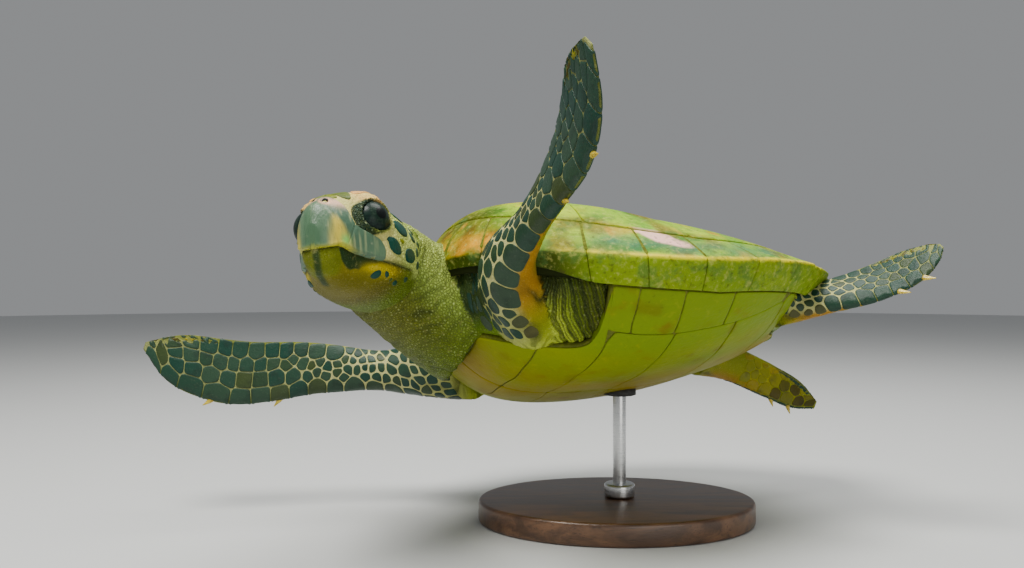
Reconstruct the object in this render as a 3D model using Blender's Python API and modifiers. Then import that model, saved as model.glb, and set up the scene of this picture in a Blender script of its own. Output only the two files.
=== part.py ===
"""Hawksbill sea turtle, a life-size still model on a plain display stand.

The turtle is shaped in its own body frame (+X to the beak, +Y to its left, +Z to its back),
in metres, about the middle of its shell.  One empty, turtle_pose, heads and banks the whole
body over the stand.  The world origin is under the base, at its middle, with +Z up.
"""
import math

import bmesh
import bpy
import numpy as np
from mathutils import Matrix

# Shell: a lens with a domed back, a flatter belly, and a rim that rises at both ends.
SHELL_LENGTH = 0.400
SHELL_MID_X = -0.017
HALF_WIDTH = 0.166
DOME = 0.081
BELLY = 0.066
NUCHAL_RISE = 0.038
TAIL_RISE = 0.013
SHELL_WALL = 0.006
PLASTRON_WALL = 0.005
LIP_SIDE = 0.905
LIP_FRONT = 0.975
LIP_REAR = 0.90
MARGINALS_A_SIDE = 12
SERRATION = 0.0030
SHELL_STEPS = 48

# Plastron outline, as distances from the middle of the belly.
BELLY_MID_X = 0.012
LOBE_FRONT = 0.150
LOBE_REAR = 0.158
LOBE_HALF_FRONT = 0.108
LOBE_HALF_REAR = 0.070
BRIDGE_FRONT_X = 0.072
BRIDGE_REAR_X = -0.108

GAP = 0.0003
ROOF_CLEAR = 0.0015
PLATE_CLEAR = 0.0012
LIP_CLEAR = 0.020
PLATE_RINGS = (0.95, 0.72, 0.4, 0)
FLESH_RECESS = 0.0025

# Pose of the body over the stand, in degrees and metres.
BODY_BANK = 17.1
BODY_PITCH = 1.5
BODY_HEADING = -161.6
BODY_HEIGHT = 0.185

# Head: its own frame, +X to the beak, with the origin midway between the eyes.
HEAD_PLACE = (0.2578, 0.1126, 0.0498)
HEAD_YAW = 58.5
HEAD_PITCH = 8.5
HEAD_ROLL = -2.7
EYE_RADIUS = 0.0145
EYE_SIDE = 0.0213
EYE_FORWARD = -0.004
EYE_UP = -0.002

# Tail
TAIL_ROOT = (-0.110, 0.0, -0.030)
TAIL_TIP = (-0.163, 0.0, -0.026)
TAIL_RADIUS = 0.013

# Stand
BASE_LENGTH = 0.250
BASE_WIDTH = 0.170
BASE_THICKNESS = 0.020
BASE_EDGE = 0.003
PAD_RADIUS = 0.015
PAD_HEIGHT = 0.030
ROD_RADIUS = 0.006
COLLAR_RADIUS = 0.014
COLLAR_HEIGHT = 0.012
ROD_OFFSET = (0.004, 0.006)

BODY_ROUND = 22


# ---------------------------------------------------------------- shared shape functions

def smooth_curve(stops, t):
    """Value at t of a curve that passes smoothly through (t, value...) stops."""
    table = np.asarray(stops, float)
    t = np.clip(np.asarray(t, float), table[0, 0], table[-1, 0])
    columns = []
    for k in range(1, table.shape[1]):
        x, y = table[:, 0], table[:, k]
        slope = np.gradient(y, x)
        i = np.clip(np.searchsorted(x, t, side="right") - 1, 0, len(x) - 2)
        h = x[i + 1] - x[i]
        u = (t - x[i]) / h
        columns.append((2 * u**3 - 3 * u**2 + 1) * y[i] + (u**3 - 2 * u**2 + u) * h * slope[i]
                       + (3 * u**2 - 2 * u**3) * y[i + 1] + (u**3 - u**2) * h * slope[i + 1])
    return np.stack(columns, -1)


def unit(v):
    v = np.asarray(v, float)
    return v / np.linalg.norm(v, axis=-1, keepdims=True)


def rim(theta):
    """Rim of the shell at angle theta, from the neck (0) round to the tail (pi)."""
    c, s = np.cos(theta), np.sin(theta)
    front, rear = np.clip(c, 0, 1), np.clip(-c, 0, 1)
    power = 0.86 - 0.14 * front + 0.75 * rear
    x = SHELL_MID_X + SHELL_LENGTH / 2 * c
    y = np.sign(s) * HALF_WIDTH * np.abs(s) ** power * (1 + 0.08 * c)
    z = NUCHAL_RISE * front ** 2 + TAIL_RISE * rear ** 2
    return x, y, z


def dome_point(theta, r):
    """Outer back of the shell, from its top (r = 0) to the rim (r = 1)."""
    x, y, z = rim(theta)
    c = np.cos(theta)
    top_x = BELLY_MID_X + 0.02
    power = 2.2 + 2.6 * np.clip(c, 0, 1) - 1.0 * np.clip(-c, 0, 1)
    height = DOME * np.clip(1 - r ** power, 0, 1) ** 0.95
    return np.stack([top_x + r * (x - top_x), r * y, z * r**2 + height], -1)


def belly_point(theta, r):
    """Underside of the lens, from the middle of the plastron to the rim."""
    x, y, z = rim(theta)
    c = np.cos(theta)
    power = 3.0 + 2.2 * np.clip(c, 0, 1) - 1.3 * np.clip(-c, 0, 1)
    depth = BELLY * np.clip(1 - r ** power, 0, 1) ** 0.8
    return np.stack([BELLY_MID_X + r * (x - BELLY_MID_X), r * y, z * r**4 - depth], -1)


def lip_radius(theta):
    """Where the underside of the marginal plates ends."""
    c = np.cos(theta)
    front, rear = np.clip(c, 0, 1), np.clip(-c, 0, 1)
    return LIP_SIDE + (LIP_FRONT - LIP_SIDE) * front**0.8 + (LIP_REAR - LIP_SIDE) * rear**2


def serration(theta):
    """How far the rim is nicked between marginal plates: most at the rear."""
    along = np.abs((theta + math.pi) % (2 * math.pi) - math.pi) / math.pi * MARGINALS_A_SIDE
    step = along - np.floor(along)
    rear = np.clip(-np.cos(theta), 0, 1)
    return SERRATION * (0.15 + 0.85 * rear) * (step - 0.5)


def plastron_radius(theta):
    """Outline of the plastron: two lobes and the bridges that reach the marginals."""
    x, y, _ = rim(theta)
    dx, dy = x - BELLY_MID_X, y
    reach = np.hypot(dx, dy)
    cos_p, sin_p = dx / reach, dy / reach
    length = np.where(cos_p > 0, LOBE_FRONT, LOBE_REAR)
    half = np.where(cos_p > 0, LOBE_HALF_FRONT, LOBE_HALF_REAR)
    lobe = (np.abs(cos_p / length) ** 2.5 + np.abs(sin_p / half) ** 2.5) ** (-1 / 2.5)
    ahead = (BRIDGE_FRONT_X - BELLY_MID_X) / np.maximum(cos_p, 1e-6)
    behind = (BELLY_MID_X - BRIDGE_REAR_X) / np.maximum(-cos_p, 1e-6)
    band = np.where(cos_p > 0, ahead, behind)
    band = np.minimum(band, reach)
    both = (lobe ** 10 + band ** 10) ** 0.1
    return np.minimum(both / reach, lip_radius(theta) - 0.004)


# ---------------------------------------------------------------- scene, materials, meshes

def clear_scene():
    for item in list(bpy.data.objects):
        bpy.data.objects.remove(item)


def collection(name, shown):
    group = bpy.data.collections.new(name)
    bpy.context.scene.collection.children.link(group)
    group.hide_render = not shown
    return group


def material(name, colour, roughness, metallic=0.0):
    made = bpy.data.materials.new(name)
    made.use_nodes = True
    shader = made.node_tree.nodes["Principled BSDF"]
    shader.inputs["Base Color"].default_value = (*colour, 1.0)
    shader.inputs["Roughness"].default_value = roughness
    shader.inputs["Metallic"].default_value = metallic
    return made


def mesh_from(name, points, faces):
    mesh = bpy.data.meshes.new(name)
    shape = bmesh.new()
    corners = [shape.verts.new(p) for p in points]
    for face in faces:
        shape.faces.new([corners[i] for i in face])
    bmesh.ops.recalc_face_normals(shape, faces=shape.faces)
    bmesh.ops.triangulate(shape, faces=shape.faces)
    shape.to_mesh(mesh)
    shape.free()
    return mesh


def loft(name, rings):
    """A closed body through rings of points, capped at both ends."""
    rings = np.asarray(rings, float)
    count, sides = rings.shape[:2]
    faces = []
    for i in range(count - 1):
        for j in range(sides):
            k = (j + 1) % sides
            faces.append((i * sides + j, i * sides + k, (i + 1) * sides + k, (i + 1) * sides + j))
    points = list(rings.reshape(-1, 3))
    for ring, first in ((rings[0], 0), (rings[-1], (count - 1) * sides)):
        middle = len(points)
        points.append(ring.mean(0))
        for j in range(sides):
            faces.append((middle, first + j, first + (j + 1) % sides))
    return mesh_from(name, points, faces)


def spun(name, profile):
    """A closed body from profile(theta): points from an upper pole round to a lower pole."""
    thetas = np.arange(SHELL_STEPS) * 2 * math.pi / SHELL_STEPS
    lines = np.stack([profile(t) for t in thetas])
    inner = lines[:, 1:-1]
    rows = inner.shape[1]
    points = [lines[:, 0].mean(0), *inner.reshape(-1, 3), lines[:, -1].mean(0)]
    faces = []
    for i in range(SHELL_STEPS):
        j = (i + 1) % SHELL_STEPS
        a, b = 1 + i * rows, 1 + j * rows
        faces.append((0, a, b))
        for k in range(rows - 1):
            faces.append((a + k, a + k + 1, b + k + 1, b + k))
        faces.append((a + rows - 1, len(points) - 1, b + rows - 1))
    return mesh_from(name, points, faces)


def place(name, mesh, group, finish, parent=None):
    thing = bpy.data.objects.new(name, mesh)
    group.objects.link(thing)
    mesh.materials.clear()
    mesh.materials.append(finish)
    mesh.shade_smooth()
    mesh.set_sharp_from_angle(angle=math.radians(40))
    thing.parent = parent
    return thing


def cutter(name, mesh, group, parent, grow=GAP):
    """A hidden copy of a body, grown by the gap, that cuts its neighbours."""
    tool = bpy.data.objects.new(name, mesh.copy())
    group.objects.link(tool)
    tool.parent = parent
    tool.hide_render = True
    tool.display_type = "WIRE"
    if grow:
        swell = tool.modifiers.new("grow", "DISPLACE")
        swell.strength = grow
        swell.mid_level = 0.0
    return tool


def cut(thing, tools, operation="DIFFERENCE"):
    for tool in tools:
        step = thing.modifiers.new("cut_" + tool.name, "BOOLEAN")
        step.operation = operation
        step.object = tool


def keep_outer(thing):
    """Apply the cuts on a limb and keep its one large piece, without slivers in the body."""
    depsgraph = bpy.context.evaluated_depsgraph_get()
    mesh = bpy.data.meshes.new_from_object(thing.evaluated_get(depsgraph))
    shape = bmesh.new()
    shape.from_mesh(mesh)
    bmesh.ops.remove_doubles(shape, verts=shape.verts, dist=0.00001)
    left = set(shape.verts)
    islands = []
    while left:
        island, edge = set(), [left.pop()]
        while edge:
            corner = edge.pop()
            island.add(corner)
            near = {link.other_vert(corner) for link in corner.link_edges} & left
            left -= near
            edge.extend(near)
        islands.append(island)
    islands.sort(key=len)
    spare = [corner for island in islands[:-1] for corner in island]
    bmesh.ops.delete(shape, geom=spare, context="VERTS")
    shape.to_mesh(mesh)
    shape.free()
    thing.modifiers.clear()
    thing.data = mesh


# ---------------------------------------------------------------- shell and trunk

def carapace_profile(theta):
    lip = lip_radius(theta)
    nick = serration(theta)
    x, y, _ = rim(theta)
    out = unit([x - BELLY_MID_X, y + 1e-9])
    line = [dome_point(theta, r) for r in (0, 0.25, 0.48, 0.68, 0.84, 0.95)]
    edge = belly_point(theta, 1.0)
    edge[:2] += out * nick
    line += [edge + (0, 0, 0.0018), edge + (0, 0, -0.0012)]
    line += [belly_point(theta, 1 - (1 - lip) * k) for k in (0.45, 1.0)]
    inner = lip - 0.035
    roof = [dome_point(theta, inner * k) - (0, 0, SHELL_WALL) for k in (1, 0.8, 0.55, 0)]
    return np.array(line + roof)


def trunk_profile(theta):
    """Flesh inside the shell, nearly flush with it where the neck and limbs come out."""
    inner = lip_radius(theta) - 0.035 - 0.006
    roof = np.array([0, 0, SHELL_WALL + ROOF_CLEAR])
    line = [dome_point(theta, inner * k) - roof for k in (0, 0.55, 0.8, 1)]
    plate = plastron_radius(theta)
    under = PLASTRON_WALL + PLATE_CLEAR
    outer = lip_radius(theta) - LIP_CLEAR
    hollow = np.clip((outer - plate) / 0.03, 0, 1)
    lift = under + (FLESH_RECESS - under) * hollow
    line.append(belly_point(theta, outer) + (0, 0, lift + 0.0005))
    edge = min(plate + 0.001, outer - 0.004)
    line.append(belly_point(theta, 0.35 * outer + 0.65 * edge) + (0, 0, lift + 0.0003))
    line.append(belly_point(theta, edge) + (0, 0, under))
    line += [belly_point(theta, plate * k) + (0, 0, under) for k in PLATE_RINGS]
    return np.array(line)


def plastron_profile(theta):
    edge = plastron_radius(theta)
    outer = [belly_point(theta, edge * k) for k in (0, 0.35, 0.65, 0.88, 1.0)]
    rise = np.array([0, 0, PLASTRON_WALL])
    return np.array(outer + [belly_point(theta, edge * k) + rise for k in PLATE_RINGS])


# ---------------------------------------------------------------- limbs

def limb_rings(spine, lead_axis, lead, trail, thick, steps, start=0.0, end=1.0, sides=16):
    """Rings of a limb: a spine, the way its leading edge faces, and its breadths along it."""
    t = np.linspace(start, end, steps)
    centre = smooth_curve(spine, t)
    along = unit(smooth_curve(spine, np.clip(t + 0.02, 0, 1))
                 - smooth_curve(spine, np.clip(t - 0.02, 0, 1)))
    ahead = smooth_curve(lead_axis, t)
    ahead = unit(ahead - (ahead * along).sum(-1, keepdims=True) * along)
    up = np.cross(along, ahead)
    a = np.arange(sides) * 2 * math.pi / sides
    c, s = np.cos(a), np.sin(a)
    front, back = smooth_curve(lead, t), smooth_curve(trail, t)
    depth = smooth_curve(thick, t)
    rings = []
    for k in range(steps):
        flat = depth[k, 1]
        wedge = 1 - flat + flat * (0.16 + 0.84 * ((1 + c) / 2) ** 0.8)
        chord = np.where(c > 0, front[k, 0], back[k, 0]) * c
        rings.append(centre[k] + np.outer(chord, ahead[k])
                     + np.outer(depth[k, 0] * s * wedge, up[k]))
    return np.array(rings)


FRONT_LEFT = dict(
    spine=[(0.0, 0.106, 0.074, -0.012), (0.2, 0.136, 0.115, 0.012), (0.4, 0.134, 0.161, 0.028),
           (0.6, 0.129, 0.209, 0.043), (0.8, 0.130, 0.258, 0.057), (1.0, 0.140, 0.306, 0.082)],
    lead_axis=[(0.0, -0.1, 0.45, -0.90), (0.35, 0.10, 0.32, -0.94), (0.6, 0.08, 0.27, -0.96),
               (0.8, -0.05, 0.40, -0.90), (1.0, -0.15, 0.55, -0.82)],
    lead=[(0.0, 0.040), (0.15, 0.034), (0.3, 0.023), (0.45, 0.020), (0.6, 0.024), (0.78, 0.028),
          (0.92, 0.021), (1.0, 0.006)],
    trail=[(0.0, 0.040), (0.15, 0.032), (0.3, 0.022), (0.45, 0.020), (0.6, 0.027), (0.78, 0.034),
           (0.92, 0.025), (1.0, 0.005)],
    thick=[(0.0, 0.034, 0.0), (0.15, 0.028, 0.1), (0.3, 0.018, 0.3), (0.45, 0.012, 0.7),
           (0.7, 0.0070, 1.0), (0.9, 0.0040, 1.0), (1.0, 0.0015, 1.0)])

FRONT_RIGHT = dict(
    spine=[(0.0, 0.112, -0.078, -0.022), (0.25, 0.182, -0.110, -0.014), (0.5, 0.255, -0.126, -0.005),
           (0.75, 0.330, -0.136, -0.002), (1.0, 0.408, -0.140, 0.026)],
    lead_axis=[(0.0, 0.1, -0.3, -1.0), (0.4, 0.0, -0.25, -1.0), (1.0, 0.3, -0.2, -1.0)],
    lead=[(0.0, 0.034), (0.15, 0.030), (0.3, 0.022), (0.45, 0.025), (0.65, 0.030), (0.8, 0.032),
          (0.93, 0.022), (1.0, 0.004)],
    trail=[(0.0, 0.034), (0.15, 0.026), (0.3, 0.017), (0.45, 0.021), (0.65, 0.027), (0.8, 0.027),
           (0.93, 0.018), (1.0, 0.004)],
    thick=[(0.0, 0.030, 0.0), (0.15, 0.026, 0.1), (0.3, 0.017, 0.4), (0.45, 0.011, 0.8),
           (0.7, 0.0070, 1.0), (0.9, 0.0040, 1.0), (1.0, 0.0015, 1.0)])

HIND_LEFT = dict(
    spine=[(0.0, -0.104, 0.074, -0.016), (0.3, -0.144, 0.100, -0.015), (0.6, -0.180, 0.128, -0.009),
           (1.0, -0.223, 0.162, 0.008)],
    lead_axis=[(0.0, 0.5, 0.6, -0.6), (0.5, 0.45, 0.45, -0.8), (1.0, 0.45, 0.35, -0.8)],
    lead=[(0.0, 0.026), (0.3, 0.023), (0.6, 0.027), (0.85, 0.023), (0.95, 0.013), (1.0, 0.004)],
    trail=[(0.0, 0.026), (0.3, 0.020), (0.6, 0.020), (0.85, 0.016), (0.95, 0.009), (1.0, 0.003)],
    thick=[(0.0, 0.020, 0.0), (0.3, 0.012, 0.4), (0.6, 0.0060, 1.0), (1.0, 0.0018, 1.0)])

HIND_RIGHT = dict(
    spine=[(0.0, -0.106, -0.060, -0.024), (0.3, -0.155, -0.071, -0.037), (0.6, -0.200, -0.077, -0.058),
           (1.0, -0.256, -0.082, -0.086)],
    lead_axis=[(0.0, 0.4, -0.6, -0.6), (0.5, 0.5, -0.3, -0.9), (1.0, 0.5, -0.3, -0.9)],
    lead=[(0.0, 0.026), (0.3, 0.019), (0.6, 0.017), (0.85, 0.014), (1.0, 0.005)],
    trail=[(0.0, 0.026), (0.3, 0.019), (0.6, 0.019), (0.85, 0.015), (1.0, 0.005)],
    thick=[(0.0, 0.020, 0.0), (0.3, 0.012, 0.4), (0.6, 0.0060, 1.0), (1.0, 0.0018, 1.0)])


# ---------------------------------------------------------------- head and neck

# Along the head: (place, half breadth, roof, throat, height of the widest line)
HEAD_SECTIONS = [
    (-0.060, 0.0390, 0.0125, -0.0620, -0.020), (-0.044, 0.0400, 0.0175, -0.0605, -0.022),
    (-0.024, 0.0390, 0.0205, -0.0580, -0.024), (-0.006, 0.0345, 0.0205, -0.0550, -0.025),
    (0.008, 0.0265, 0.0182, -0.0530, -0.022), (0.020, 0.0200, 0.0145, -0.0500, -0.018),
    (0.032, 0.0160, 0.0092, -0.0445, -0.018), (0.040, 0.0118, 0.0025, -0.0390, -0.018),
    (0.0440, 0.0050, -0.0085, -0.0310, -0.018)]
HEAD_BACK = HEAD_SECTIONS[0][0]
BROW_X = -0.002
MOUTH_LINE = [(0.070, -0.0260), (0.041, -0.0256), (0.033, -0.0243), (0.022, -0.0272),
              (0.006, -0.0312), (-0.012, -0.0338), (-0.026, -0.0352)]
JAW_BACK = [(-0.036, -0.044), (-0.042, -0.090)]
BEAK_BACK = [(0.025, 0.040), (0.0245, 0.010), (0.0185, -0.004), (0.004, -0.0155), (-0.0035, -0.0330)]


def oval(centre, side, up, half, top, bottom, widest, square=0.0, sides=BODY_ROUND):
    """A ring of an egg-shaped section, narrow at the roof unless it is square there."""
    a = np.arange(sides) * 2 * math.pi / sides
    c, s = np.cos(a), np.sin(a)
    tall = np.where(c > 0, top - widest, widest - bottom)
    power = 0.9 - 0.4 * square * (c > 0)
    y = half * np.sign(s) * np.abs(s) ** power * (1 - 0.16 * (1 - square) * np.clip(c, 0, 1) ** 1.5)
    z = widest + tall * np.sign(c) * np.abs(c) ** power
    return centre + np.outer(y, side) + np.outer(z, up)


def head_rings(steps=13):
    first, last = HEAD_BACK, HEAD_SECTIONS[-1][0]
    spread = np.sin(np.linspace(0, math.pi / 2, steps)) * 0.7 + np.linspace(0, 1, steps) * 0.3
    rings = []
    for x in first + (last - first) * spread:
        half, top, bottom, widest = smooth_curve(HEAD_SECTIONS, x)
        brow = math.exp(-((x - BROW_X) / 0.016) ** 2)
        rings.append(oval(np.array([x, 0, 0]), (0, 1, 0), (0, 0, 1), half, top, bottom, widest, brow))
    return np.array(rings)


def head_matrix():
    turn = [Matrix.Rotation(math.radians(a), 3, axis) for a, axis in
            ((HEAD_YAW, "Z"), (HEAD_PITCH, "Y"), (HEAD_ROLL, "X"))]
    return np.array(turn[0] @ turn[1] @ turn[2])


# The neck from the trunk to the head: (way along, half breadth, top, bottom)
NECK_ROOT = (0.095, -0.004, -0.012)
NECK_SECTIONS = [(0.0, 0.060, 0.038, -0.058), (0.35, 0.056, 0.034, -0.060),
                 (0.7, 0.045, 0.020, -0.060), (1.0, 0.0388, 0.0123, -0.0618)]


def neck_rings(steps=10):
    frame = head_matrix()
    joint = np.array(HEAD_PLACE) + frame[:, 0] * (HEAD_BACK - GAP)
    root = np.array(NECK_ROOT)
    rings = []
    for t in np.linspace(0, 1, steps):
        a, b = 0.115 * np.array([1.0, 0.10, 0.02]), 0.10 * frame[:, 0]
        middle = ((2*t**3 - 3*t**2 + 1) * root + (t**3 - 2*t**2 + t) * a
                  + (3*t**2 - 2*t**3) * joint + (t**3 - t**2) * b)
        ahead = unit((6*t**2 - 6*t) * root + (3*t**2 - 4*t + 1) * a
                     + (6*t - 6*t**2) * joint + (3*t**2 - 2*t) * b)
        up = unit(np.array([0, 0, 1]) * (1 - t) + frame[:, 2] * t)
        side = unit(np.cross(up, ahead))
        up = np.cross(ahead, side)
        half, top, bottom = smooth_curve(NECK_SECTIONS, t)
        rings.append(oval(middle, side, up, half, top, bottom, -0.014 * t))
    return np.array(rings)


def slab(name, outline, half_width):
    """A prism across the head from an outline drawn on its middle plane."""
    rings = [[(x, side, z) for x, z in outline] for side in (-half_width, half_width)]
    return loft(name, rings)


def tail_rings(steps=6, sides=12):
    """A short young tail under the rear of the shell, ending in a blunt tip."""
    a = np.arange(sides) * 2 * math.pi / sides
    rings = []
    for t in np.linspace(0, 1, steps):
        radius = TAIL_RADIUS * (1 - 0.8 * t ** 1.5)
        centre = np.array(TAIL_ROOT) * (1 - t) + np.array(TAIL_TIP) * t
        rings.append(centre + radius * (np.outer(np.sin(a), (0, 1, 0))
                                        + 0.85 * np.outer(np.cos(a), (0, 0, 1))))
    return np.array(rings)


# ---------------------------------------------------------------- small parts and stand

def claw_mesh(name, length=0.009, radius=0.0024, steps=4, sides=6):
    """A curved, tapering claw along +X."""
    a = np.arange(sides) * 2 * math.pi / sides
    rings = []
    for k in range(steps):
        t = k / (steps - 1)
        size = radius * (1 - 0.85 * t)
        centre = np.array([length * t, 0, -0.0016 * t * t])
        rings.append(centre + np.outer(np.cos(a) * size, (0, 1, 0))
                     + np.outer(np.sin(a) * size, (0, 0, 1)))
    return loft(name, rings)


def claw_matrix(limb, t, side_angle):
    """Seat of a claw on the leading edge of a limb, turned towards its tip."""
    here, ahead = smooth_curve(limb["spine"], t), smooth_curve(limb["spine"], min(t + 0.03, 1))
    along = unit(ahead - here)
    lead = smooth_curve(limb["lead_axis"], t)
    lead = unit(lead - (lead @ along) * along)
    out = unit(lead * math.cos(side_angle) + along * math.sin(side_angle))
    up = unit(np.cross(along, lead))
    side = np.cross(up, out)
    seat = here + lead * (smooth_curve(limb["lead"], t)[0] - 0.0025)
    matrix = Matrix.Identity(4)
    for column, vector in enumerate((out, side, up)):
        matrix.col[column][:3] = vector
    matrix.col[3][:3] = seat
    return matrix


def eye_mesh(name):
    mesh = bpy.data.meshes.new(name)
    ball = bmesh.new()
    bmesh.ops.create_uvsphere(ball, u_segments=16, v_segments=8, radius=EYE_RADIUS)
    ball.to_mesh(mesh)
    ball.free()
    return mesh


def cylinder(name, radius, height, segments=40, stretch=1.0):
    """An upright cylinder standing on z = 0."""
    mesh = bpy.data.meshes.new(name)
    body = bmesh.new()
    bmesh.ops.create_cone(body, cap_ends=True, segments=segments, radius1=radius,
                          radius2=radius, depth=height)
    bmesh.ops.scale(body, vec=(1, stretch, 1), verts=body.verts)
    bmesh.ops.translate(body, vec=(0, 0, height / 2), verts=body.verts)
    body.to_mesh(mesh)
    body.free()
    return mesh


def collar_mesh(name):
    """A turned ring: outer side from top to bottom, then back up its bore."""
    mesh = bpy.data.meshes.new(name)
    line = bmesh.new()
    bore = ROD_RADIUS + GAP
    profile = [(bore, COLLAR_HEIGHT), (COLLAR_RADIUS - 0.003, COLLAR_HEIGHT),
               (COLLAR_RADIUS, COLLAR_HEIGHT - 0.003), (COLLAR_RADIUS, 0.0), (bore, 0.0)]
    corners = [line.verts.new((x, 0, z)) for x, z in profile]
    for k, corner in enumerate(corners):
        line.edges.new((corner, corners[(k + 1) % len(corners)]))
    line.to_mesh(mesh)
    line.free()
    return mesh


def build_stand(parts, finish, body_tools):
    base = place("stand_base", cylinder("stand_base", BASE_LENGTH / 2, BASE_THICKNESS, 48,
                                        BASE_WIDTH / BASE_LENGTH), parts, finish["wood"])
    edge = base.modifiers.new("edge", "BEVEL")
    edge.width, edge.segments, edge.limit_method = BASE_EDGE, 1, "ANGLE"
    edge.angle_limit = math.radians(60)
    floor = BASE_THICKNESS + GAP
    pad_low = BODY_HEIGHT - BELLY - 0.006
    rod = place("stand_rod", cylinder("stand_rod", ROD_RADIUS, pad_low - GAP - floor, 24),
                parts, finish["steel"])
    rod.location = (*ROD_OFFSET, floor)
    pad = place("stand_pad", cylinder("stand_pad", PAD_RADIUS, PAD_HEIGHT, 32), parts, finish["rubber"])
    pad.location = (*ROD_OFFSET, pad_low)
    bpy.context.view_layer.update()
    cut(pad, body_tools)
    keep_outer(pad)
    collar = place("stand_collar", collar_mesh("stand_collar"), parts, finish["steel"])
    collar.location = (*ROD_OFFSET, floor)
    turn = collar.modifiers.new("turn", "SCREW")
    turn.steps = turn.render_steps = 24
    turn.use_merge_vertices, turn.merge_threshold = True, 0.00001


# ---------------------------------------------------------------- the whole model

def finishes():
    return {
        "scaled": material("scaled_skin", (0.055, 0.075, 0.045), 0.5),
        "skin": material("pale_skin", (0.42, 0.40, 0.16), 0.55),
        "shell": material("shell_back", (0.30, 0.28, 0.10), 0.45),
        "plate": material("shell_belly", (0.38, 0.33, 0.06), 0.45),
        "beak": material("horn", (0.16, 0.19, 0.13), 0.35),
        "eye": material("eye", (0.012, 0.018, 0.014), 0.08),
        "claw": material("claw", (0.55, 0.47, 0.26), 0.4),
        "wood": material("stand_wood", (0.10, 0.05, 0.025), 0.4),
        "steel": material("stand_steel", (0.55, 0.55, 0.56), 0.3, 1.0),
        "rubber": material("stand_rubber", (0.02, 0.02, 0.02), 0.7),
    }


def build_limb(parts, tools, body, finish, limb, names, split, tools_near):
    """An arm or leg and its flipper: one limb parted by a thin cut across it."""
    near = place(names[0], loft(names[0], limb_rings(**limb, steps=7, end=split, sides=12)),
                 parts, finish["scaled"], body)
    cut(near, tools_near)
    keep_outer(near)
    length = np.linalg.norm(np.array(limb["spine"][-1][1:]) - np.array(limb["spine"][0][1:]))
    far_rings = limb_rings(**limb, steps=12, start=split + GAP / length * 1.3, sides=12)
    far = place(names[1], loft(names[1], far_rings), parts, finish["scaled"], body)
    return near, far


def main():
    clear_scene()
    parts = collection("hawksbill_turtle", True)
    tools = collection("cutters", False)
    finish = finishes()

    body = bpy.data.objects.new("turtle_pose", None)
    parts.objects.link(body)
    body.location = (0, 0, BODY_HEIGHT)
    body.rotation_euler = [math.radians(a) for a in (BODY_BANK, BODY_PITCH, BODY_HEADING)]
    head_pose = bpy.data.objects.new("head_pose", None)
    parts.objects.link(head_pose)
    head_pose.parent = body
    head_pose.location = HEAD_PLACE
    head_pose.rotation_euler = [math.radians(a) for a in (HEAD_ROLL, HEAD_PITCH, HEAD_YAW)]

    carapace = place("carapace", spun("carapace", carapace_profile), parts, finish["shell"], body)
    plastron = place("plastron", spun("plastron", plastron_profile), parts, finish["plate"], body)
    trunk = place("trunk", spun("trunk", trunk_profile), parts, finish["skin"], body)
    shell_tools = [cutter("tool_" + thing.name, thing.data, tools, body)
                   for thing in (carapace, plastron, trunk)]

    whole_head = loft("head", head_rings())
    head_tool = cutter("tool_head", whole_head, tools, head_pose)
    neck = place("neck", loft("neck", neck_rings()), parts, finish["skin"], body)
    neck_tool = cutter("tool_neck", neck.data, tools, body)
    cut(neck, shell_tools + [head_tool])
    keep_outer(neck)
    tail = place("tail", loft("tail", tail_rings()), parts, finish["scaled"], body)
    tail_tool = cutter("tool_tail", tail.data, tools, body)
    cut(tail, shell_tools)
    keep_outer(tail)

    head = place("head", whole_head, parts, finish["scaled"], head_pose)
    jaw = place("lower_jaw", whole_head.copy(), parts, finish["skin"], head_pose)
    beak = place("beak", whole_head.copy(), parts, finish["beak"], head_pose)
    jaw_shape = MOUTH_LINE + JAW_BACK + [(0.070, -0.090)]
    beak_shape = MOUTH_LINE[:5] + BEAK_BACK[::-1] + [(0.070, 0.040)]
    jaw_exact = cutter("tool_jaw", slab("jaw", jaw_shape, 0.05), tools, head_pose, 0)
    jaw_wide = cutter("tool_jaw_wide", slab("jaw", jaw_shape, 0.051), tools, head_pose)
    beak_exact = cutter("tool_beak", slab("beak", beak_shape, 0.05), tools, head_pose, 0)
    beak_wide = cutter("tool_beak_wide", slab("beak", beak_shape, 0.051), tools, head_pose)
    cut(jaw, [jaw_exact], "INTERSECT")
    cut(beak, [beak_exact], "INTERSECT")
    cut(beak, [jaw_wide])
    cut(head, [jaw_wide, beak_wide])
    for name, side in (("eye_left", 1), ("eye_right", -1)):
        eye = place(name, eye_mesh(name), parts, finish["eye"], head_pose)
        eye.location = (EYE_FORWARD, side * EYE_SIDE, EYE_UP)
        tool = cutter("tool_" + name, eye.data, tools, head_pose)
        tool.location = eye.location
        cut(head, [tool])

    near_tools = shell_tools + [neck_tool]
    limbs = (("left", FRONT_LEFT, HIND_LEFT), ("right", FRONT_RIGHT, HIND_RIGHT))
    for side, front, hind in limbs:
        _, flipper = build_limb(parts, tools, body, finish, front,
                                (f"arm_{side}", f"front_flipper_{side}"), 0.40, near_tools)
        _, foot = build_limb(parts, tools, body, finish, hind,
                             (f"leg_{side}", f"hind_flipper_{side}"), 0.42,
                             shell_tools + [tail_tool])
        seats = ((flipper, front, "front", 0.62, 1), (flipper, front, "front", 0.79, 2),
                 (foot, hind, "hind", 0.66, 1), (foot, hind, "hind", 0.80, 2))
        for owner, limb, kind, along, number in seats:
            name = f"claw_{kind}_{side}_{number}"
            claw = place(name, claw_mesh(name), parts, finish["claw"], body)
            claw.matrix_local = claw_matrix(limb, along, math.radians(35))
            tool = cutter("tool_" + name, owner.data, tools, body)
            cut(claw, [tool])

    build_stand(parts, finish, shell_tools[1:])


main()
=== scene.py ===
import math

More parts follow.
